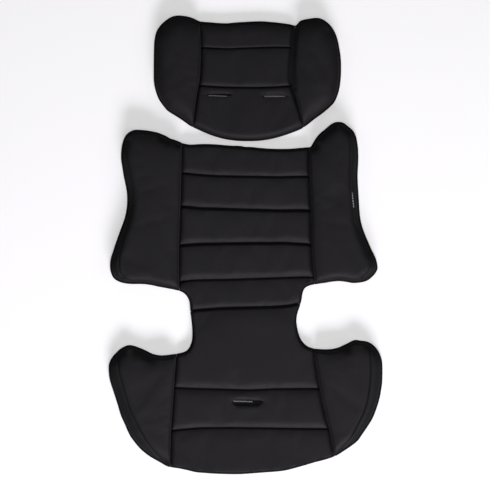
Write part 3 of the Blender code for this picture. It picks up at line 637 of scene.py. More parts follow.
def height_of(pad):
    """The cover's height over a pad, as a function of points in the plane."""
    H = pad["H"]
    outer = OUTER[pad["group"]]
    loop = pad["loop"] if pad["kind"] == "strip" else WINGS[pad["wing"]]["loop"]
    segs = Edge_segs(loop)
    mid, run = (segs[:, :2] + segs[:, 2:]) / 2, segs[:, 2:] - segs[:, :2]
    north = -run[:, 0] / np.maximum(np.linalg.norm(run, axis=1), 1e-9)   # outward normal's y
    on = outer(mid)[0] < 0.35 * MM
    # each edge: segments, height at the stitches, then (height, width, power) of its shoulders
    edges = []
    if pad["kind"] == "strip":
        (ha, wa), (hb, wb), (hu, wu) = ROLL.get(pad["name"], ((6.4, 15.5), (2.0, 46), (2.6, 14)))
        up = np.zeros(len(segs), bool)
        for line in MID_LINES[pad["group"]]:
            near = (Edge.of(line)(mid)[0] < 0.4 * MM) & ~on
            if near.any():
                edges.append((Edge(segs[near]), VALLEY, valley_gap(line),
                              ((8.0, 1.9, 2.0), (H / MM - 12.2, 10, 2.0))))
            up |= near
        across = ~on & ~up
        quilted = {"lower": QUILT, "upper": QUILT}
        if pad["name"] == "waist_strip":
            quilted["lower"] = VALLEY
        if pad["name"] == "seat_strip_1":
            quilted["upper"] = VALLEY
        cy = np.mean([q[1] for q in pad["loop"]])
        lower, upper = across & (mid[:, 1] < cy), across & (mid[:, 1] >= cy)
        bib = on & (north < -0.5) if pad["name"] == "head_lower_bib" else np.zeros(len(segs), bool)
        rest = on & ~bib
        if pad["name"] in ("head_top_strip", "back_strip_1"):
            top_on = rest & (north > 0.5)
            edges.append((Edge(segs[top_on]), RIM, None,
                          ((H / MM - 3.4 - hu, 2.4, 2.0), (hu, wu, 2.0))))
            rest = rest & ~top_on
        if pad["name"] == "seat_strip_3":
            edges.append((Edge(segs[rest]), RIM, None, ((H / MM - 3.8, 2.3, 2.0), (0.4, 8, 2.0))))
        elif rest.any():
            edges.append((Edge(segs[rest]), RIM, None,
                          ((12.8, 2.6, 2.0), (H / MM - 16.2, 11, 2.0))))
        if bib.any():
            edges.append((Edge(segs[bib]), RIM, None, ((4.6, 1.4, 2.0), (H / MM - 8.0, 13, 2.2))))
        if lower.any():
            base = quilted["lower"]
            edges.append((Edge(segs[lower]), base, None,
                          (((H - base) / MM - ha - hb, 1.2, 2.0), (ha, wa, 2.4), (hb, wb, 2.0))))
        if upper.any():
            base = quilted["upper"]
            edges.append((Edge(segs[upper]), base, None,
                          (((H - base) / MM - hu, 2.0, 2.0), (hu, wu, 2.0))))
        for h in pad["holes"]:
            # the cloth below a harness slot lies flat, the cloth above it bulges over
            flat = None
            if pad["name"] == "head_lower_bib":
                flat = lambda P, y=np.mean(np.array(h)[:, 1]): (
                    -1.5 * MM * (1 - np.tanh((P[:, 1] - y) / (1.6 * MM))))
            edges.append((Edge.of(h, True), 14.4 * MM, flat, ((1.4, 1.6, 2.0),
                                                              (H / MM - 15.8, 11, 2.0))))
        seam, soft = Edge(segs[~on]), 3.0 * MM
    else:
        seam, soft = Edge(segs[~on]), 7.0 * MM
        gap = valley_gap(WINGS[pad["wing"]]["seam"])
        top = H / MM + 1.4
        flat = 2.5 if pad["wing"] == "seat_wing_left" else 0.0
        low = 30.5 if pad["group"] == "seat" else 19
        broad = 30 if pad["wing"] == "seat_wing_left" else 21
        if pad["gus"]:
            cover = on & (inside(mid, pad["cover"]) | (north < -0.93) | (north > 0.93))
            edges = [(seam, VALLEY, gap, ((top - 14.2 + flat, 2.4, 2.0),
                                        (10 - flat, 46, 2.0)))]
            for pick, shape in ((cover & (north > 0.3), ((22, 3.0, 2.0), (top - 25.4, 56, 2.0))),
                                (cover & (north <= 0.3), ((low, 3.2, 2.0),
                                                          (top - low - 3.4, 16, 2.2))),
                                (on & ~cover, ((11, 4.5, 2.0), (top - 14.4, broad, 2.0)))):
                if pick.any():
                    edges.append((Edge(segs[pick]), RIM, None, shape))
        else:
            edges = [(seam, VALLEY, gap, ((top - 13.2, 2.4, 2.0), (9, 42, 2.0)))]
            for pick, shape in ((on & (north > 0.5), ((17, 3.4, 2.0), (top - 20.4, 46, 2.0))),
                                (on & (north <= 0.5), ((14, 3.8, 2.0), (top - 17.4, 31, 2.0)))):
                if pick.any():
                    edges.append((Edge(segs[pick]), RIM, None, shape))
    seed = sum(map(ord, pad["name"])) % 97
    groove = Edge.of(pad["gus"]) if pad.get("gus") else None
    folds = [(Edge.of([at(*a), at(*b)]), w * MM, h * MM)
             for a, b, w, h in FOLDS.get(pad["name"], [])]

    def height(P):
        z = None
        for e, low, gap, shape in edges:
            d, _ = e(P)
            if gap is not None:
                d = np.maximum(d - gap(P), 0.0)
            h = low + sum(t * MM * ell(d, w * MM, n) for t, w, n in shape)
            z = h if z is None else smin(z, h, soft)
        d, s = seam(P)
        pucker = np.sin(s / (2.1 * MM) + 2.5 * np.sin(s / (17 * MM) + seed)) * 0.5 + 0.5
        z = z - 0.30 * MM * pucker * np.exp(-d / (5.0 * MM)) * np.clip(d / (1.5 * MM), 0, 1)
        z = z + 0.28 * MM * ripple(P, seed, 42 * MM) * np.clip(d / (10 * MM), 0, 1)
        for e, w, h in folds:
            z = z + 0.6 * h * np.exp(-(e(P)[0] / w) ** 2)
        if pad["name"] == "seat_strip_3":
            front = at(0, 471)[1]
            g = np.clip((P[:, 1] - front) / MM, 0, None)
            z = z + 1.5 * MM * np.exp(-(g / 20) ** 2)
        if groove is not None:
            g, _ = groove(P)
            z = z - 1.5 * MM * np.exp(-(g / (1.1 * MM)) ** 2) - 0.8 * MM * np.exp(-g / (3.0 * MM))
        return np.maximum(z, PAD_Z + 0.8 * MM)

    return height


def finish_piece(ob, body, blend, nodes, mat):
    ob.data.materials.append(mat)
    if blend:
        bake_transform(ob)
    else:
        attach(ob, body)
    if nodes:
        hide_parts(*nodes)
    return ob


# ---------------------------------------------------------------- materials
class Nodes:
    def __init__(self, name):
        self.mat = bpy.data.materials.new(name)
        self.mat.use_nodes = True
        self.t = self.mat.node_tree
        self.bsdf = self.t.nodes["Principled BSDF"]

    def add(self, kind, **kw):
        n = self.t.nodes.new(kind)
        for k, v in kw.items():
            setattr(n, k, v)
        return n

    def link(self, a, b):
        self.t.links.new(a, b)

    def math(self, op, a, b=None, c=None, clamp=False):
        n = self.add("ShaderNodeMath", operation=op, use_clamp=clamp)
        for i, v in enumerate((a, b, c)):
            if v is None:
                continue
            if isinstance(v, (int, float)):
                n.inputs[i].default_value = v
            else:
                self.link(v, n.inputs[i])
        return n.outputs[0]

    def mix(self, f, a, b):
        n = self.add("ShaderNodeMix", data_type="RGBA")
        for i, v in ((0, f), (6, a), (7, b)):
            if isinstance(v, (int, float)):
                n.inputs[i].default_value = v
            elif isinstance(v, tuple):
                n.inputs[i].default_value = (*v, 1.0)
            else:
                self.link(v, n.inputs[i])
        return n.outputs[2]

    def noise(self, vec, scale, detail=3.0, rough=0.55):
        n = self.add("ShaderNodeTexNoise")
        n.inputs["Scale"].default_value = scale
        n.inputs["Detail"].default_value = detail
        n.inputs["Roughness"].default_value = rough
        self.link(vec, n.inputs["Vector"])
        return n.outputs["Fac"]

    def range(self, v, a, b, c, d):
        n = self.add("ShaderNodeMapRange")
        for i, x in enumerate((a, b, c, d)):
            n.inputs[i + 1].default_value = x
        self.link(v, n.inputs[0])
        return n.outputs[0]

    def bump(self, height, strength, distance, normal=None):
        n = self.add("ShaderNodeBump")
        n.inputs["Strength"].default_value = strength
        n.inputs["Distance"].default_value = distance
        self.link(height, n.inputs["Height"])
        if normal is not None:
            self.link(normal, n.inputs["Normal"])
        return n.outputs[0]

    def rest(self):
        n = self.add("ShaderNodeAttribute", attribute_name="rest")
        return n.outputs["Vector"]


def knit(name, dark, light, pitch=0.95 * MM, sheen=0.35, rough=(0.56, 0.70), swap=False):
    """Fine weft knit: columns of small V stitches with painted shade between the loops, soft mottling, a
    nap that catches light.
    """
    m = Nodes(name)
    vec = m.rest()
    sep = m.add("ShaderNodeSeparateXYZ")
    m.link(vec, sep.inputs[0])
    x, y, z = sep.outputs
    if swap:
        x, y = y, z
    u = m.math("MULTIPLY", x, 1 / pitch)
    v = m.math("MULTIPLY", y, 1 / (pitch * 0.8))
    fu = m.math("FRACT", u)
    lean = m.math("ABSOLUTE", m.math("SUBTRACT", fu, 0.5))
    row = m.math("SINE", m.math("MULTIPLY", m.math("ADD", v, m.math("MULTIPLY", lean, 1.3)), 6.2832))
    column = m.math("SINE", m.math("MULTIPLY", fu, 3.1416))
    loopy = m.math("MULTIPLY", m.math("ADD", m.math("MULTIPLY", row, 0.5), 0.5), column)
    broad = m.noise(vec, 14, 3)
    fine = m.noise(vec, 900, 2)
    mottle = m.noise(vec, 70, 4, 0.6)
    tone = m.math("ADD", m.math("MULTIPLY", broad, 0.55), m.math("MULTIPLY", mottle, 0.45))
    base = m.mix(m.range(tone, 0.35, 0.65, 0.0, 1.0), dark, light)
    # painted shade: the gaps between the stitch loops are coloured darker, standing in for the shade
    # that falls in them
    gap_shade = tuple(c * 0.45 for c in dark)
    col = m.mix(m.range(loopy, 0.0, 0.55, 0.0, 1.0), gap_shade, base)
    col = m.mix(m.range(fine, 0.66, 0.80, 0.0, 0.35), col, tuple(min(1, c * 2.4) for c in light))
    m.link(col, m.bsdf.inputs["Base Color"])
    m.link(m.range(m.math("ADD", m.math("MULTIPLY", mottle, 0.7), m.math("MULTIPLY", fine, 0.3)),
                   0.3, 0.7, rough[0], rough[1]), m.bsdf.inputs["Roughness"])
    b1 = m.bump(mottle, 0.10, 0.6 * MM)
    b2 = m.bump(loopy, 0.42, 0.22 * MM, b1)
    b3 = m.bump(fine, 0.18, 0.10 * MM, b2)
    m.link(b3, m.bsdf.inputs["Normal"])
    m.bsdf.inputs["Specular IOR Level"].default_value = 0.30
    m.bsdf.inputs["Sheen Weight"].default_value = sheen
    m.bsdf.inputs["Sheen Roughness"].default_value = 0.42
    m.bsdf.inputs["Sheen Tint"].default_value = (0.90, 0.86, 1.0, 1.0)
    return m.mat


def mesh_cloth(name, dark, light, pitch=1.3 * MM, sheen=0.25):
    """Air-mesh band: small round cells with painted shade in their hollows, in a closer ground, the same
    in every direction.
    """
    m = Nodes(name)
    vec = m.rest()
    cell = m.add("ShaderNodeTexVoronoi", feature="F1")
    cell.inputs["Scale"].default_value = 1 / pitch
    cell.inputs["Randomness"].default_value = 0.35
    m.link(vec, cell.inputs["Vector"])
    pit = m.range(cell.outputs["Distance"], 0.15, 0.5, 0.0, 1.0)
    mottle = m.noise(vec, 60, 4, 0.6)
    fine = m.noise(vec, 1100, 2)
    base = m.mix(m.range(mottle, 0.35, 0.65, 0.0, 1.0), dark, light)
    # painted shade: the cell hollows are coloured darker, standing in for the shade that falls in them
    col = m.mix(pit, tuple(c * 0.5 for c in dark), base)
    m.link(col, m.bsdf.inputs["Base Color"])
    m.link(m.range(mottle, 0.3, 0.7, 0.55, 0.72), m.bsdf.inputs["Roughness"])
    b1 = m.bump(mottle, 0.10, 0.5 * MM)
    b2 = m.bump(pit, 0.40, 0.25 * MM, b1)
    b3 = m.bump(fine, 0.15, 0.10 * MM, b2)
    m.link(b3, m.bsdf.inputs["Normal"])
    m.bsdf.inputs["Specular IOR Level"].default_value = 0.25
    m.bsdf.inputs["Sheen Weight"].default_value = sheen
    m.bsdf.inputs["Sheen Roughness"].default_value = 0.6
    m.bsdf.inputs["Sheen Tint"].default_value = (0.75, 0.80, 0.80, 1.0)
    return m.mat


def woven(name, dark, light, pitch=0.5 * MM, rough=0.5, sheen=0.05, stripe=None):
    """Plain weave, with painted shade between the threads, for welts, bindings, lining, thread and
    labels.
    """
    m = Nodes(name)
    vec = m.rest()
    sep = m.add("ShaderNodeSeparateXYZ")
    m.link(vec, sep.inputs[0])
    x, y, z = sep.outputs
    k = 3.1416 / pitch
    su = m.math("SINE", m.math("MULTIPLY", m.math("ADD", x, m.math("MULTIPLY", z, 0.7)), k))
    sv = m.math("SINE", m.math("MULTIPLY", m.math("SUBTRACT", y, m.math("MULTIPLY", z, 0.7)), k))
    over = m.math("MULTIPLY", su, sv)
    h = m.math("ABSOLUTE", over)
    mottle = m.noise(vec, 120, 4, 0.6)
    fine = m.noise(vec, 1300, 2)
    base = m.mix(m.range(mottle, 0.35, 0.65, 0.0, 1.0), dark, light)
    # painted shade: the gaps between the threads are coloured darker, standing in for the shade that
    # falls in them
    col = m.mix(m.range(h, 0.0, 0.5, 0.0, 1.0), tuple(c * 0.5 for c in dark), base)
    if stripe:
        tint, centre, half, period, duty = stripe
        line = m.math("LESS_THAN", m.math("ABSOLUTE", m.math("SUBTRACT", y, centre)), half)
        dash = m.math("LESS_THAN", m.math("FRACT", m.math("MULTIPLY", x, 1 / period)), duty)
        col = m.mix(m.math("MULTIPLY", line, dash), col, tint)
    m.link(col, m.bsdf.inputs["Base Color"])
    m.link(m.range(mottle, 0.3, 0.7, rough - 0.06, rough + 0.10), m.bsdf.inputs["Roughness"])
    b1 = m.bump(h, 0.45, 0.12 * MM)
    b2 = m.bump(fine, 0.2, 0.08 * MM, b1)
    m.link(b2, m.bsdf.inputs["Normal"])
    m.bsdf.inputs["Specular IOR Level"].default_value = 0.25
    m.bsdf.inputs["Sheen Weight"].default_value = sheen
    m.bsdf.inputs["Sheen Roughness"].default_value = 0.4
    return m.mat


KNIT = knit("black_knit_cloth", (0.0145, 0.0130, 0.0146), (0.0205, 0.0184, 0.0208), sheen=0.04)
BAND = mesh_cloth("band_mesh_cloth", (0.0104, 0.0108, 0.0108), (0.0150, 0.0155, 0.0155), sheen=0.04)
WELT_M = woven("welt_tape", (0.0085, 0.0080, 0.0095), (0.0150, 0.0140, 0.0165), 0.55 * MM, sheen=0.04)
THREAD = woven("sewing_thread", (0.006, 0.006, 0.0062), (0.010, 0.0098, 0.0104), 0.30 * MM, 0.55, 0.0)
LINING = woven("lining_tricot", (0.022, 0.022, 0.024), (0.038, 0.038, 0.041), 0.9 * MM, 0.6, 0.15)
BINDING = woven("slot_facing", (0.0090, 0.0085, 0.0098), (0.0160, 0.0150, 0.0170), 0.5 * MM)

# ---------------------------------------------------------------- the covers, relaxed as cloth
for pad in PADS:
    pad["height"] = height_of(pad)


def relax():
    """Lays the covers over their pads as slightly loose cloth, sewn down along every seam."""
    verts, faces, pins = [], [], []
    for pad in PADS:
        loop = even(pad["loop"], 5 * MM)
        holes = [even(h, 4 * MM) for h in pad["holes"]]
        V, F = triangles(loop, holes, cloud(loop, holes, (2.6 * MM,), 4.6 * MM))
        d, _ = Edge(np.concatenate([Edge_segs(l) for l in [loop] + holes]))(V)
        pins += [len(verts) + int(i) for i in np.nonzero(d < 0.2 * MM)[0]]
        faces += [tuple(len(verts) + int(i) for i in f) for f in F]
        verts += [tuple(p) for p in np.column_stack([V, pad["height"](V)])]
    me = bpy.data.meshes.new("loose_cloth")
    me.from_pydata([tuple(map(float, p)) for p in verts], [], faces)
    ob = bpy.data.objects.new("loose_cloth", me)
    bpy.context.scene.collection.objects.link(ob)
    ob.vertex_groups.new(name="sewn").add(pins, 1.0, "REPLACE")
    mod = ob.modifiers.new("cloth", "CLOTH")
    c = mod.settings
    c.quality, c.mass, c.air_damping = 6, 0.15, 2.0
    c.tension_stiffness = c.compression_stiffness = 14.0
    c.shear_stiffness, c.bending_stiffness = 6.0, 1.6
    c.tension_damping = c.compression_damping = c.shear_damping = 8.0
    c.vertex_group_mass, c.pin_stiffness = "sewn", 1.0
    c.shrink_min = -0.007
    c.use_pressure, c.uniform_pressure_force = True, 1.0
    c.effector_weights.gravity = 0.0
    mod.collision_settings.use_collision = False
    mod.collision_settings.use_self_collision = False
    mod.point_cache.frame_start, mod.point_cache.frame_end = 1, 20
    scene = bpy.context.scene
    for f in range(1, 21):
        scene.frame_set(f)
    got = ob.evaluated_get(bpy.context.evaluated_depsgraph_get()).to_mesh()
    new = np.array([v.co for v in got.vertices])
    scene.frame_set(1)
    bpy.data.objects.remove(ob)
    old = np.array(verts)
    move = new - old
    size = np.linalg.norm(move, axis=1)
    print("cloth: %d points, moved mean %.2f mm, most %.2f mm" %
          (len(old), size.mean() * 1000, size.max() * 1000))
    cap = 1.6 * MM
    move *= np.where(size > 1e-9, cap * np.tanh(size / cap) / np.maximum(size, 1e-9), 0)[:, None]
    tree = kdtree.KDTree(len(old))
    for i, p in enumerate(old):
        tree.insert((p[0], p[1], 0.0), i)
    tree.balance()
    return tree, move


def moved_by(relaxed, P, reach=3.6 * MM):
    tree, move = relaxed
    out = np.zeros((len(P), 3))
    for k, p in enumerate(P):
        near = tree.find_n((p[0], p[1], 0.0), 7)
        w = np.array([math.exp(-(d / reach) ** 2) + 1e-6 for _, _, d in near])
        out[k] = (w[:, None] * move[[i for _, i, _ in near]]).sum(0) / w.sum()
    return out


RELAXED = relax()

# ---------------------------------------------------------------- build the pads
RINGS = (0.5 * MM, 1.2 * MM, 2.2 * MM, 3.8 * MM, 6.0 * MM)
MAT = {"black_knit": KNIT, "gusset_cloth": BAND}
for pad in PADS:
    V, F = triangles(pad["loop"], pad["holes"],
                     cloud(pad["loop"], pad["holes"], RINGS, 3.3 * MM))
    top = np.column_stack([V, pad["height"](V)])
    flat = top.copy()
    if RELAXED:
        d, _ = Edge(np.concatenate([Edge_segs(l) for l in [pad["loop"]] + pad["holes"]]))(V)
        top += 0.55 * moved_by(RELAXED, V) * np.clip(d / (4 * MM), 0, 1)[:, None]
        top[:, 2] = np.maximum(top[:, 2], PAD_Z + 0.8 * MM)
    W, G = triangles(pad["loop"], pad["holes"], cloud(pad["loop"], pad["holes"], (), 9 * MM))
    n = len(V)
    low = np.column_stack([W, np.full(len(W), PAD_Z)])
    where = {(round(x * 1e7), round(y * 1e7)): i for i, (x, y) in enumerate(W)}
    faces = [tuple(f) for f in F] + [tuple(n + i for i in f[::-1]) for f in G]
    for a, b in rim_of(F):
        ka, kb = (where[(round(V[i][0] * 1e7), round(V[i][1] * 1e7))] for i in (a, b))
        faces.append((b, a, n + ka, n + kb))
    ob = mesh_object(pad["name"], np.concatenate([top, low]), faces,
                     rest=np.concatenate([flat, low]))
    finish_piece(ob, pad["group"], pad["blend"], pad["nodes"], MAT[pad["slot"]])
    pad["object"] = ob


def surface_z(P, group):
    """The finished height of the padded face at points, from whichever pad holds them."""
    z = np.full(len(P), PAD_Z)
    for pad in PADS:
        if pad["group"] == group:
            m = inside(P, pad["loop"])
            if m.any():
                z[m] = pad["height"](P[m])
    return z


# ---------------------------------------------------------------- welts round the edges
def open_runs(loop, cuts):
    """The outline's stretch that a region keeps, as an open line that ends at the seams."""
    def kept(q):
        return all(keep * (q[1 - axis] - lookup(line, axis, q[axis])) > 0.05 * MM
                   for line, axis, keep in cuts)

    def end(a, b):
        a, b = np.array(a), np.array(b)
        for _ in range(12):
            m = (a + b) / 2
            a, b = (m, b) if kept(m) else (a, m)
        return tuple(a)

    P, n = loop, len(loop)
    ok = [kept(q) for q in P]
    runs = []
    for i in [i for i in range(n) if ok[i] and not ok[i - 1]]:
        run = [end(P[i], P[i - 1])]
        while ok[i % n]:
            run.append(P[i % n])
            i += 1
        run.append(end(P[(i - 1) % n], P[i % n]))
        run = [run[0]] + [q for q in run[1:-1]
                          if min(math.dist(q, run[0]), math.dist(q, run[-1])) > 0.5 * MM] + [run[-1]]
        if len(run) > 3:
            runs.append(run)
    return runs


head_welt, body_welt = inset(head_out, WELT - 0.9 * MM), inset(body_out, WELT - 0.9 * MM)
UP, DOWN = (WAIST, 0, 1), (WAIST, 0, -1)
WELTS = [("head_welt", head_welt, MID["head"], "head", None),
         ("back_welt", body_welt, MID["back"] + [UP], "back", None),
         ("seat_welt", body_welt, MID["seat"] + [DOWN], "seat", WAIST_BLEND)]
for w, d in WINGS.items():
    cuts = [(d["seam"], 1, -d["side"])]
    if not w.startswith("head"):
        cuts.append(UP if w.startswith("back") else DOWN)
    WELTS.append((w + "_welt", head_welt if w.startswith("head") else body_welt, cuts, d["group"],
                  d["blend"]))
for name, loop, cuts, group, blend in WELTS:
    V, F = [], []
    for run in open_runs(loop, cuts):
        v, f = tube(name, run, 1.7 * MM, 1.8 * MM, 12, z=3.0 * MM)
        F += [tuple(len(V) + i for i in q) for q in f]
        V += v
    finish_piece(mesh_object(name, V, F), group, blend, None, WELT_M)

# ---------------------------------------------------------------- linings
LININGS = [("head_lining_cloth", head_out, MID["head"], "head", None, ["head_lining"]),
           ("back_lining_cloth", body_out, MID["back"] + [UP], "back", None, ["back_lining"]),
           ("seat_lining_cloth", body_out, MID["seat"] + [DOWN], "seat", WAIST_BLEND,
            ["seat_lining"])]
for w, d in WINGS.items():
    cuts = [(d["seam"], 1, -d["side"])]
    if not w.startswith("head"):
        cuts.append(UP if w.startswith("back") else DOWN)
    LININGS.append((w + "_lining_cloth", head_out if w.startswith("head") else body_out, cuts,
                    d["group"], d["blend"], [w + "_lining"]))
for name, loop, cuts, group, blend, nodes in LININGS:
    loop = inset(loop, 0.6 * MM)
    for line, axis, keep in sorted(cuts, key=lambda c: c[1]):
        loop = cut(loop, line, axis, keep, 0.05 * MM)
    loop = ccw(even(loop, 3.2 * MM))
    holes = {"head_lining_cloth": [stadium(c, SLOT_W, SLOT_H) for c in HEAD_SLOTS.values()],
             "seat_lining_cloth": [stadium(CROTCH, CROTCH_W, CROTCH_H)]}.get(name, [])
    V, F = triangles(loop, holes, cloud(loop, holes, (1.5 * MM,), 7 * MM))
    n = len(V)
    d, _ = Edge(np.concatenate([Edge_segs(l) for l in [loop] + holes]))(V)
    hem = 0.12 * MM * np.exp(-((d - 1.6 * MM) / (0.8 * MM)) ** 2)
    zt = LINING_T - 0.1 * MM - hem
    zb = np.where(d < 1e-6, 0.25 * MM, 0.0) + 0.0
    faces = [tuple(f) for f in F] + [tuple(n + i for i in f[::-1]) for f in F]
    faces += [(b, a, n + a, n + b) for a, b in rim_of(F)]
    ob = mesh_object(name, np.concatenate([np.column_stack([V, zt]), np.column_stack([V, zb])]),
                     faces)
    finish_piece(ob, group, blend, nodes, LINING)
    P = np.array(loop)
    size = P.max(0) - P.min(0)

# ---------------------------------------------------------------- seam stitches
def along(line, z, keep=lambda P: np.ones(len(P), bool)):
    P = np.array(line)
    P = P[keep(P)]
    return np.column_stack([P, np.full(len(P), z)])


def clipped(line, loop, margin=2.0 * MM):
    P = np.array(spline_line(line, 2 * MM))
    e = Edge.of(loop, True)
    return P[inside(P, loop) & (e(P)[0] > margin)]


def region(loop, cuts):
    for line, axis, keep in cuts:
        loop = cut(loop, line, axis, keep, 0.0)
    return loop


SEAMS = {
    "head": (region(head_in, MID["head"]), [HEAD_1, HEAD_2], head_in, [HEAD_L, HEAD_R]),
    "back": (region(back_in, MID["back"]), [BACK_1, BACK_2, BACK_3, BACK_4], back_in,
             [BACK_L, BACK_R]),
    "seat": (region(seat_in, MID["seat"]), [SEAT_1, SEAT_2], seat_in, [SEAT_L, SEAT_R]),
}
for group, (middle, across, whole, upright) in SEAMS.items():
    lines = [(clipped(l, middle), QUILT) for l in across]
    lines += [(clipped(l, whole), VALLEY) for l in upright]
    if group == "back":
        lines.append((clipped(WAIST[1:-1], body_in), VALLEY))
    lines = [np.column_stack([l, np.full(len(l), z - 0.5 * MM)]) for l, z in lines if len(l) > 3]
    V, F = stitches(lines)
    finish_piece(mesh_object(group + "_seam_thread", V, F), group, None, None, THREAD)
for w, d in WINGS.items():
    if w not in GUSSET:
        continue
    l = clipped(GUSSET[w], d["loop"], 3 * MM)
    pad = next(p for p in PADS if p["name"] == w + "_pad")
    line = np.column_stack([l, pad["height"](l) + 0.15 * MM])
    V, F = stitches([line], 3.2 * MM, 2.2 * MM, 0.30 * MM)
    finish_piece(mesh_object(w + "_seam_thread", V, F), d["group"], d["blend"], None,
                 THREAD)

# a flat tape under each seam between two bodies' pads
def ribbon(line, half, z0, z1):
    P = np.array(line)
    T = np.gradient(P, axis=0)
    N = np.stack([-T[:, 1], T[:, 0]], 1) / np.linalg.norm(T, axis=1)[:, None]
    V = np.concatenate([np.column_stack([P + k * half * N, np.full(len(P), z)])
                        for k, z in ((-1, z0), (1, z0), (1, z1), (-1, z1))])
    n = len(P)
    F = [(c * n + i, c * n + i + 1, e * n + i + 1, e * n + i)
         for c, e in ((0, 1), (1, 2), (2, 3), (3, 0)) for i in range(n - 1)]
    F += [(0, n, 2 * n, 3 * n), (n - 1, 4 * n - 1, 3 * n - 1, 2 * n - 1)]
    return V, [f[::-1] for f in F]


for group, (middle, across, whole, upright) in SEAMS.items():
    V, F = [], []
    runs = [clipped(l, whole, 0.0) for l in upright]
    if group == "back":
        runs.append(clipped(WAIST[1:-1], body_in, 0.0))
    for l in runs:
        v, f = ribbon(l, 3.2 * MM, 1.04 * MM, 1.33 * MM)
        F += [tuple(len(V) + i for i in q) for q in f]
        V += [tuple(p) for p in v]
    finish_piece(mesh_object(group + "_seam_tape", V, F, 30), group, None, None,
                 WELT_M)

# ---------------------------------------------------------------- slots, labels, tag
def slot_facing(name, c, w, h, body, nodes):
    """The folded inside of a slot: its upper lip hangs over a passage that bends out of sight."""
    k = h / 2 - (3.6 if h == SLOT_H else 4.0) * MM
    # half width, shift, height of the upper side, height of the lower side, in mm
    rows = [(4.0, 0, 1.5, 1.5), (4.0, 0, 11.6, 11.6), (2.6, -0.1, 13.6, 13.2),
            (1.9, -0.2, 15.4, 14.4), (1.4, -0.4, 15.6, 14.6), (0.95, -0.5, 14.4, 13.0),
            (0.7, 0.9, 10.8, 8.8), (0.6, 1.85, 7.6, 5.8), (1.4, 1.1, 4.8, 4.0),
            (3.1, 0, 2.8, 2.8), (3.1, 0, 1.5, 1.5)]
    V, n = [], 22
    for r, shift, zu, zl in rows:
        r = r * MM + k
        if h == SLOT_H and 13 <= zl <= 15:
            zl += 1.7
        for i, (x, y) in enumerate(stadium(c, w - h + 2 * r, 2 * r, 10)):
            t = (x - c[0]) / (w / 2)
            side = 0.5 + 0.5 * np.clip((y - c[1]) / r, -1, 1)
            z = (zl + (zu - zl) * side) * MM
            if z > 9 * MM:
                z += (0.3 * math.sin(4 * t + c[0] * 40) + 0.5 * side) * MM
            V.append((x, y + shift * MM + 0.3 * MM * math.sin(2.6 * t + 1), z))
    F = []
    for r in range(len(rows)):
        q = (r + 1) % len(rows)
        for i in range(n):
            j = (i + 1) % n
            F.append((r * n + i, q * n + i, q * n + j, r * n + j))
    finish_piece(mesh_object(name, V, F, 70), body, None, nodes, BINDING)


def label(name, c, w, h, z, body, nodes, mat, angle=0.0, lean=1.2 * MM):
    """A short woven tape, a little curved, that follows the cloth under it."""
    nx, ny = 30, 4
    V, F, R = [], [], []
    ca, sa = math.cos(angle), math.sin(angle)
    for s in (1, -1):
        for i in range(nx + 1):
            for j in range(ny + 1):
                u, v = i / nx - 0.5, j / ny - 0.5
                x, y = u * w, v * h
                zz = (z(u) if callable(z) else z) + s * 0.28 * MM * (1 - 0.5 * (2 * abs(v)) ** 6)
                zz += 0.12 * MM * math.sin(u * 40) - lean * v
                V.append((c[0] + ca * x - sa * y, c[1] + sa * x + ca * y, zz))
                R.append((x, y, 0.0))
    m = (nx + 1) * (ny + 1)

    def idx(i, j):
        return i * (ny + 1) + j

    for i in range(nx):
        for j in range(ny):
            a, b, d, e = idx(i, j), idx(i + 1, j), idx(i + 1, j + 1), idx(i, j + 1)
            F += [(a, b, d, e), (m + e, m + d, m + b, m + a)]
    ring = ([idx(i, 0) for i in range(nx)] + [idx(nx, j) for j in range(ny)]
            + [idx(i, ny) for i in range(nx, 0, -1)] + [idx(0, j) for j in range(ny, 0, -1)])
    for a, b in zip(ring, ring[1:] + ring[:1]):
        F.append((b, a, m + a, m + b))
    finish_piece(mesh_object(name, V, F, 60, rest=R), body, None, nodes, mat)


# blank tapes: a dark ground with one line of plain light stitches
TAPES = [("head_slot_tape_left", "left", HEAD_SLOTS["left"], -3.2 * MM, 30.0 * MM,
          (0.68, 0.6, 0.74), -2.4),
         ("head_slot_tape_right", "right", HEAD_SLOTS["right"], -1.6 * MM, 35.0 * MM,
          (0.80, 0.80, 0.66), 0.0),
         ("crotch_slot_tape", "crotch", CROTCH, -7.6 * MM, 33.0 * MM, (0.86, 0.80, 0.70), -1.8)]
for name, side, c, shift, long, grey, tilt in TAPES:
    head = side != "crotch"
    size = (SLOT_W, SLOT_H) if head else (CROTCH_W, CROTCH_H)
    node = "head_slot_%s_" + side if head else "crotch_slot_%s"
    slot_facing(name.replace("tape", "facing"), c, *size, "head" if head else "seat",
                [node % "binding"])
    mat = woven("label_" + side, (0.014, 0.014, 0.016), (0.024, 0.024, 0.027), 0.35 * MM, 0.5,
                stripe=((grey[0], grey[0], grey[0]), 0.2 * MM, grey[1] * MM, 3.3 * MM, grey[2]))
    up = {"left": -0.7, "right": 0.4, "crotch": 1.4}[side] * MM
    top = {"left": 17.9, "right": 17.4, "crotch": 17.0}[side] * MM
    label(name, (c[0] + shift, c[1] + up), long, 1.9 * MM,
          lambda u: top + 0.35 * MM * math.cos(u * 5), "head" if head else "seat",
          [node % "label"], mat, math.radians(tilt))
mat = woven("label_side", (0.030, 0.030, 0.032), (0.050, 0.050, 0.053), 0.35 * MM, 0.45,
            stripe=((0.42, 0.42, 0.43), 0.0, 0.75 * MM, 4.6 * MM, 0.62))
band = next(p for p in PADS if p["name"] == "back_wing_right_side_band")
tag_c = np.array(at(352.2, 200.5))
tag_a = math.radians(-84)
tag_d = np.array([math.cos(tag_a), math.sin(tag_a)])
label("side_tape", tuple(tag_c), 25 * MM, 2.8 * MM,
      lambda u: float(band["height"](np.array([tag_c + u * 25 * MM * tag_d]))[0]) + 1.0 * MM,
      "back_wing_right", ["side_tag"], mat, tag_a, lean=0.0)

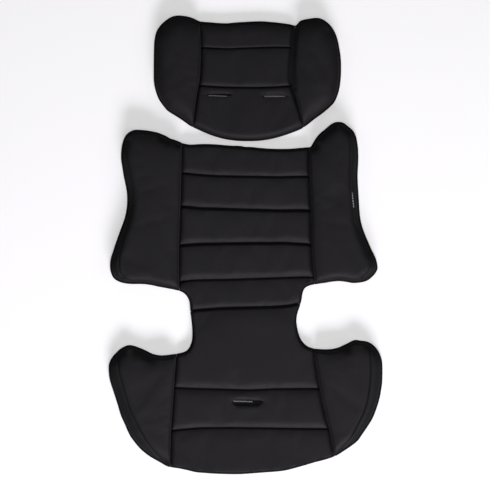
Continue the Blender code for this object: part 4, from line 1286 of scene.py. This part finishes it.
# ---------------------------------------------------------------- stage, light, camera
def area_light(name, loc, target, size, power, color=(1, 1, 1)):
    li = bpy.data.lights.new(name, "AREA")
    li.shape, li.size, li.size_y = "RECTANGLE", size[0], size[1]
    li.energy, li.color = power, color
    ob = bpy.data.objects.new(name, li)
    bpy.context.scene.collection.objects.link(ob)
    ob.location = loc
    ob.rotation_euler = (Vector(target) - Vector(loc)).to_track_quat("-Z", "Y").to_euler()
    ob.visible_camera = False
    return ob


# the floor and a low wall round it, one pale sweep that only the camera sees
rows = ([(r, 0.0) for r in (0.4, 2.0, 5.0, 8.0)]
        + [(8.0 + 2.5 * math.sin(a), 2.5 - 2.5 * math.cos(a))
           for a in [math.radians(15 * k) for k in range(1, 7)]] + [(10.5, 9.0)])
sweep_v, sweep_f = [(0, 0, 0)], []
for r, z in rows:
    sweep_v += [(r * math.cos(math.pi * k / 32), r * math.sin(math.pi * k / 32), z)
                for k in range(64)]
for k in range(64):
    m = (k + 1) % 64
    sweep_f.append((0, 1 + k, 1 + m))
    for j in range(len(rows) - 1):
        sweep_f.append((1 + j * 64 + k, 65 + j * 64 + k, 65 + j * 64 + m, 1 + j * 64 + m))
floor_me = bpy.data.meshes.new("floor")
floor_me.from_pydata(sweep_v, [], sweep_f)
floor_me.shade_smooth()
floor = bpy.data.objects.new("floor", floor_me)
bpy.context.scene.collection.objects.link(floor)
floor.location.z = -0.4 * MM
fm = Nodes("pale_floor")
fv = fm.add("ShaderNodeTexCoord").outputs["Object"]
fm.link(fm.mix(fm.noise(fv, 3, 2), (0.90, 0.90, 0.90), (0.93, 0.93, 0.93)),
        fm.bsdf.inputs["Base Color"])
fm.bsdf.inputs["Roughness"].default_value = 0.9
fm.bsdf.inputs["Emission Color"].default_value = (1, 1, 1, 1)
fm.bsdf.inputs["Emission Strength"].default_value = 0.45
fm.mat.cycles.emission_sampling = "NONE"
floor.visible_diffuse = floor.visible_glossy = floor.visible_shadow = False
floor_me.materials.append(fm.mat)

world = bpy.data.worlds.new("studio")
world.use_nodes = True
world.node_tree.nodes["Background"].inputs[0].default_value = (1.0, 1.0, 1.0, 1.0)
world.node_tree.nodes["Background"].inputs[1].default_value = 0.05
bpy.context.scene.world = world
COOL = (0.95, 0.91, 1.0)
area_light("key", (0.5, -2.75, 1.55), (0, 0.0, 0), (1.7, 0.85), 87, COOL)
area_light("back", (0.1, 1.9, 2.1), (0, 0, 0), (1.6, 1.0), 4, COOL)
area_light("right", (2.2, -0.3, 1.9), (0, -0.1, 0), (1.2, 1.2), 7)
area_light("left", (-2.2, -0.1, 2.2), (0, 0, 0), (1.2, 1.2), 6)
area_light("top", (0.1, -0.18, 1.15), (0.05, -0.15, 0), (0.7, 0.7), 1.2)

cam = bpy.data.cameras.new("camera")
cam_ob = bpy.data.objects.new("camera", cam)
bpy.context.scene.collection.objects.link(cam_ob)
CAM_Z = 4.2
cam.sensor_width = 36.0
cam.lens = 36.0 * CAM_Z / (490 * GRID)
cam_ob.location = (at(245, 0)[0], at(0, 245)[1], CAM_Z)
cam_ob.rotation_euler = (0, 0, 0)
bpy.context.scene.camera = cam_ob
bpy.context.scene.view_settings.view_transform = "Standard"
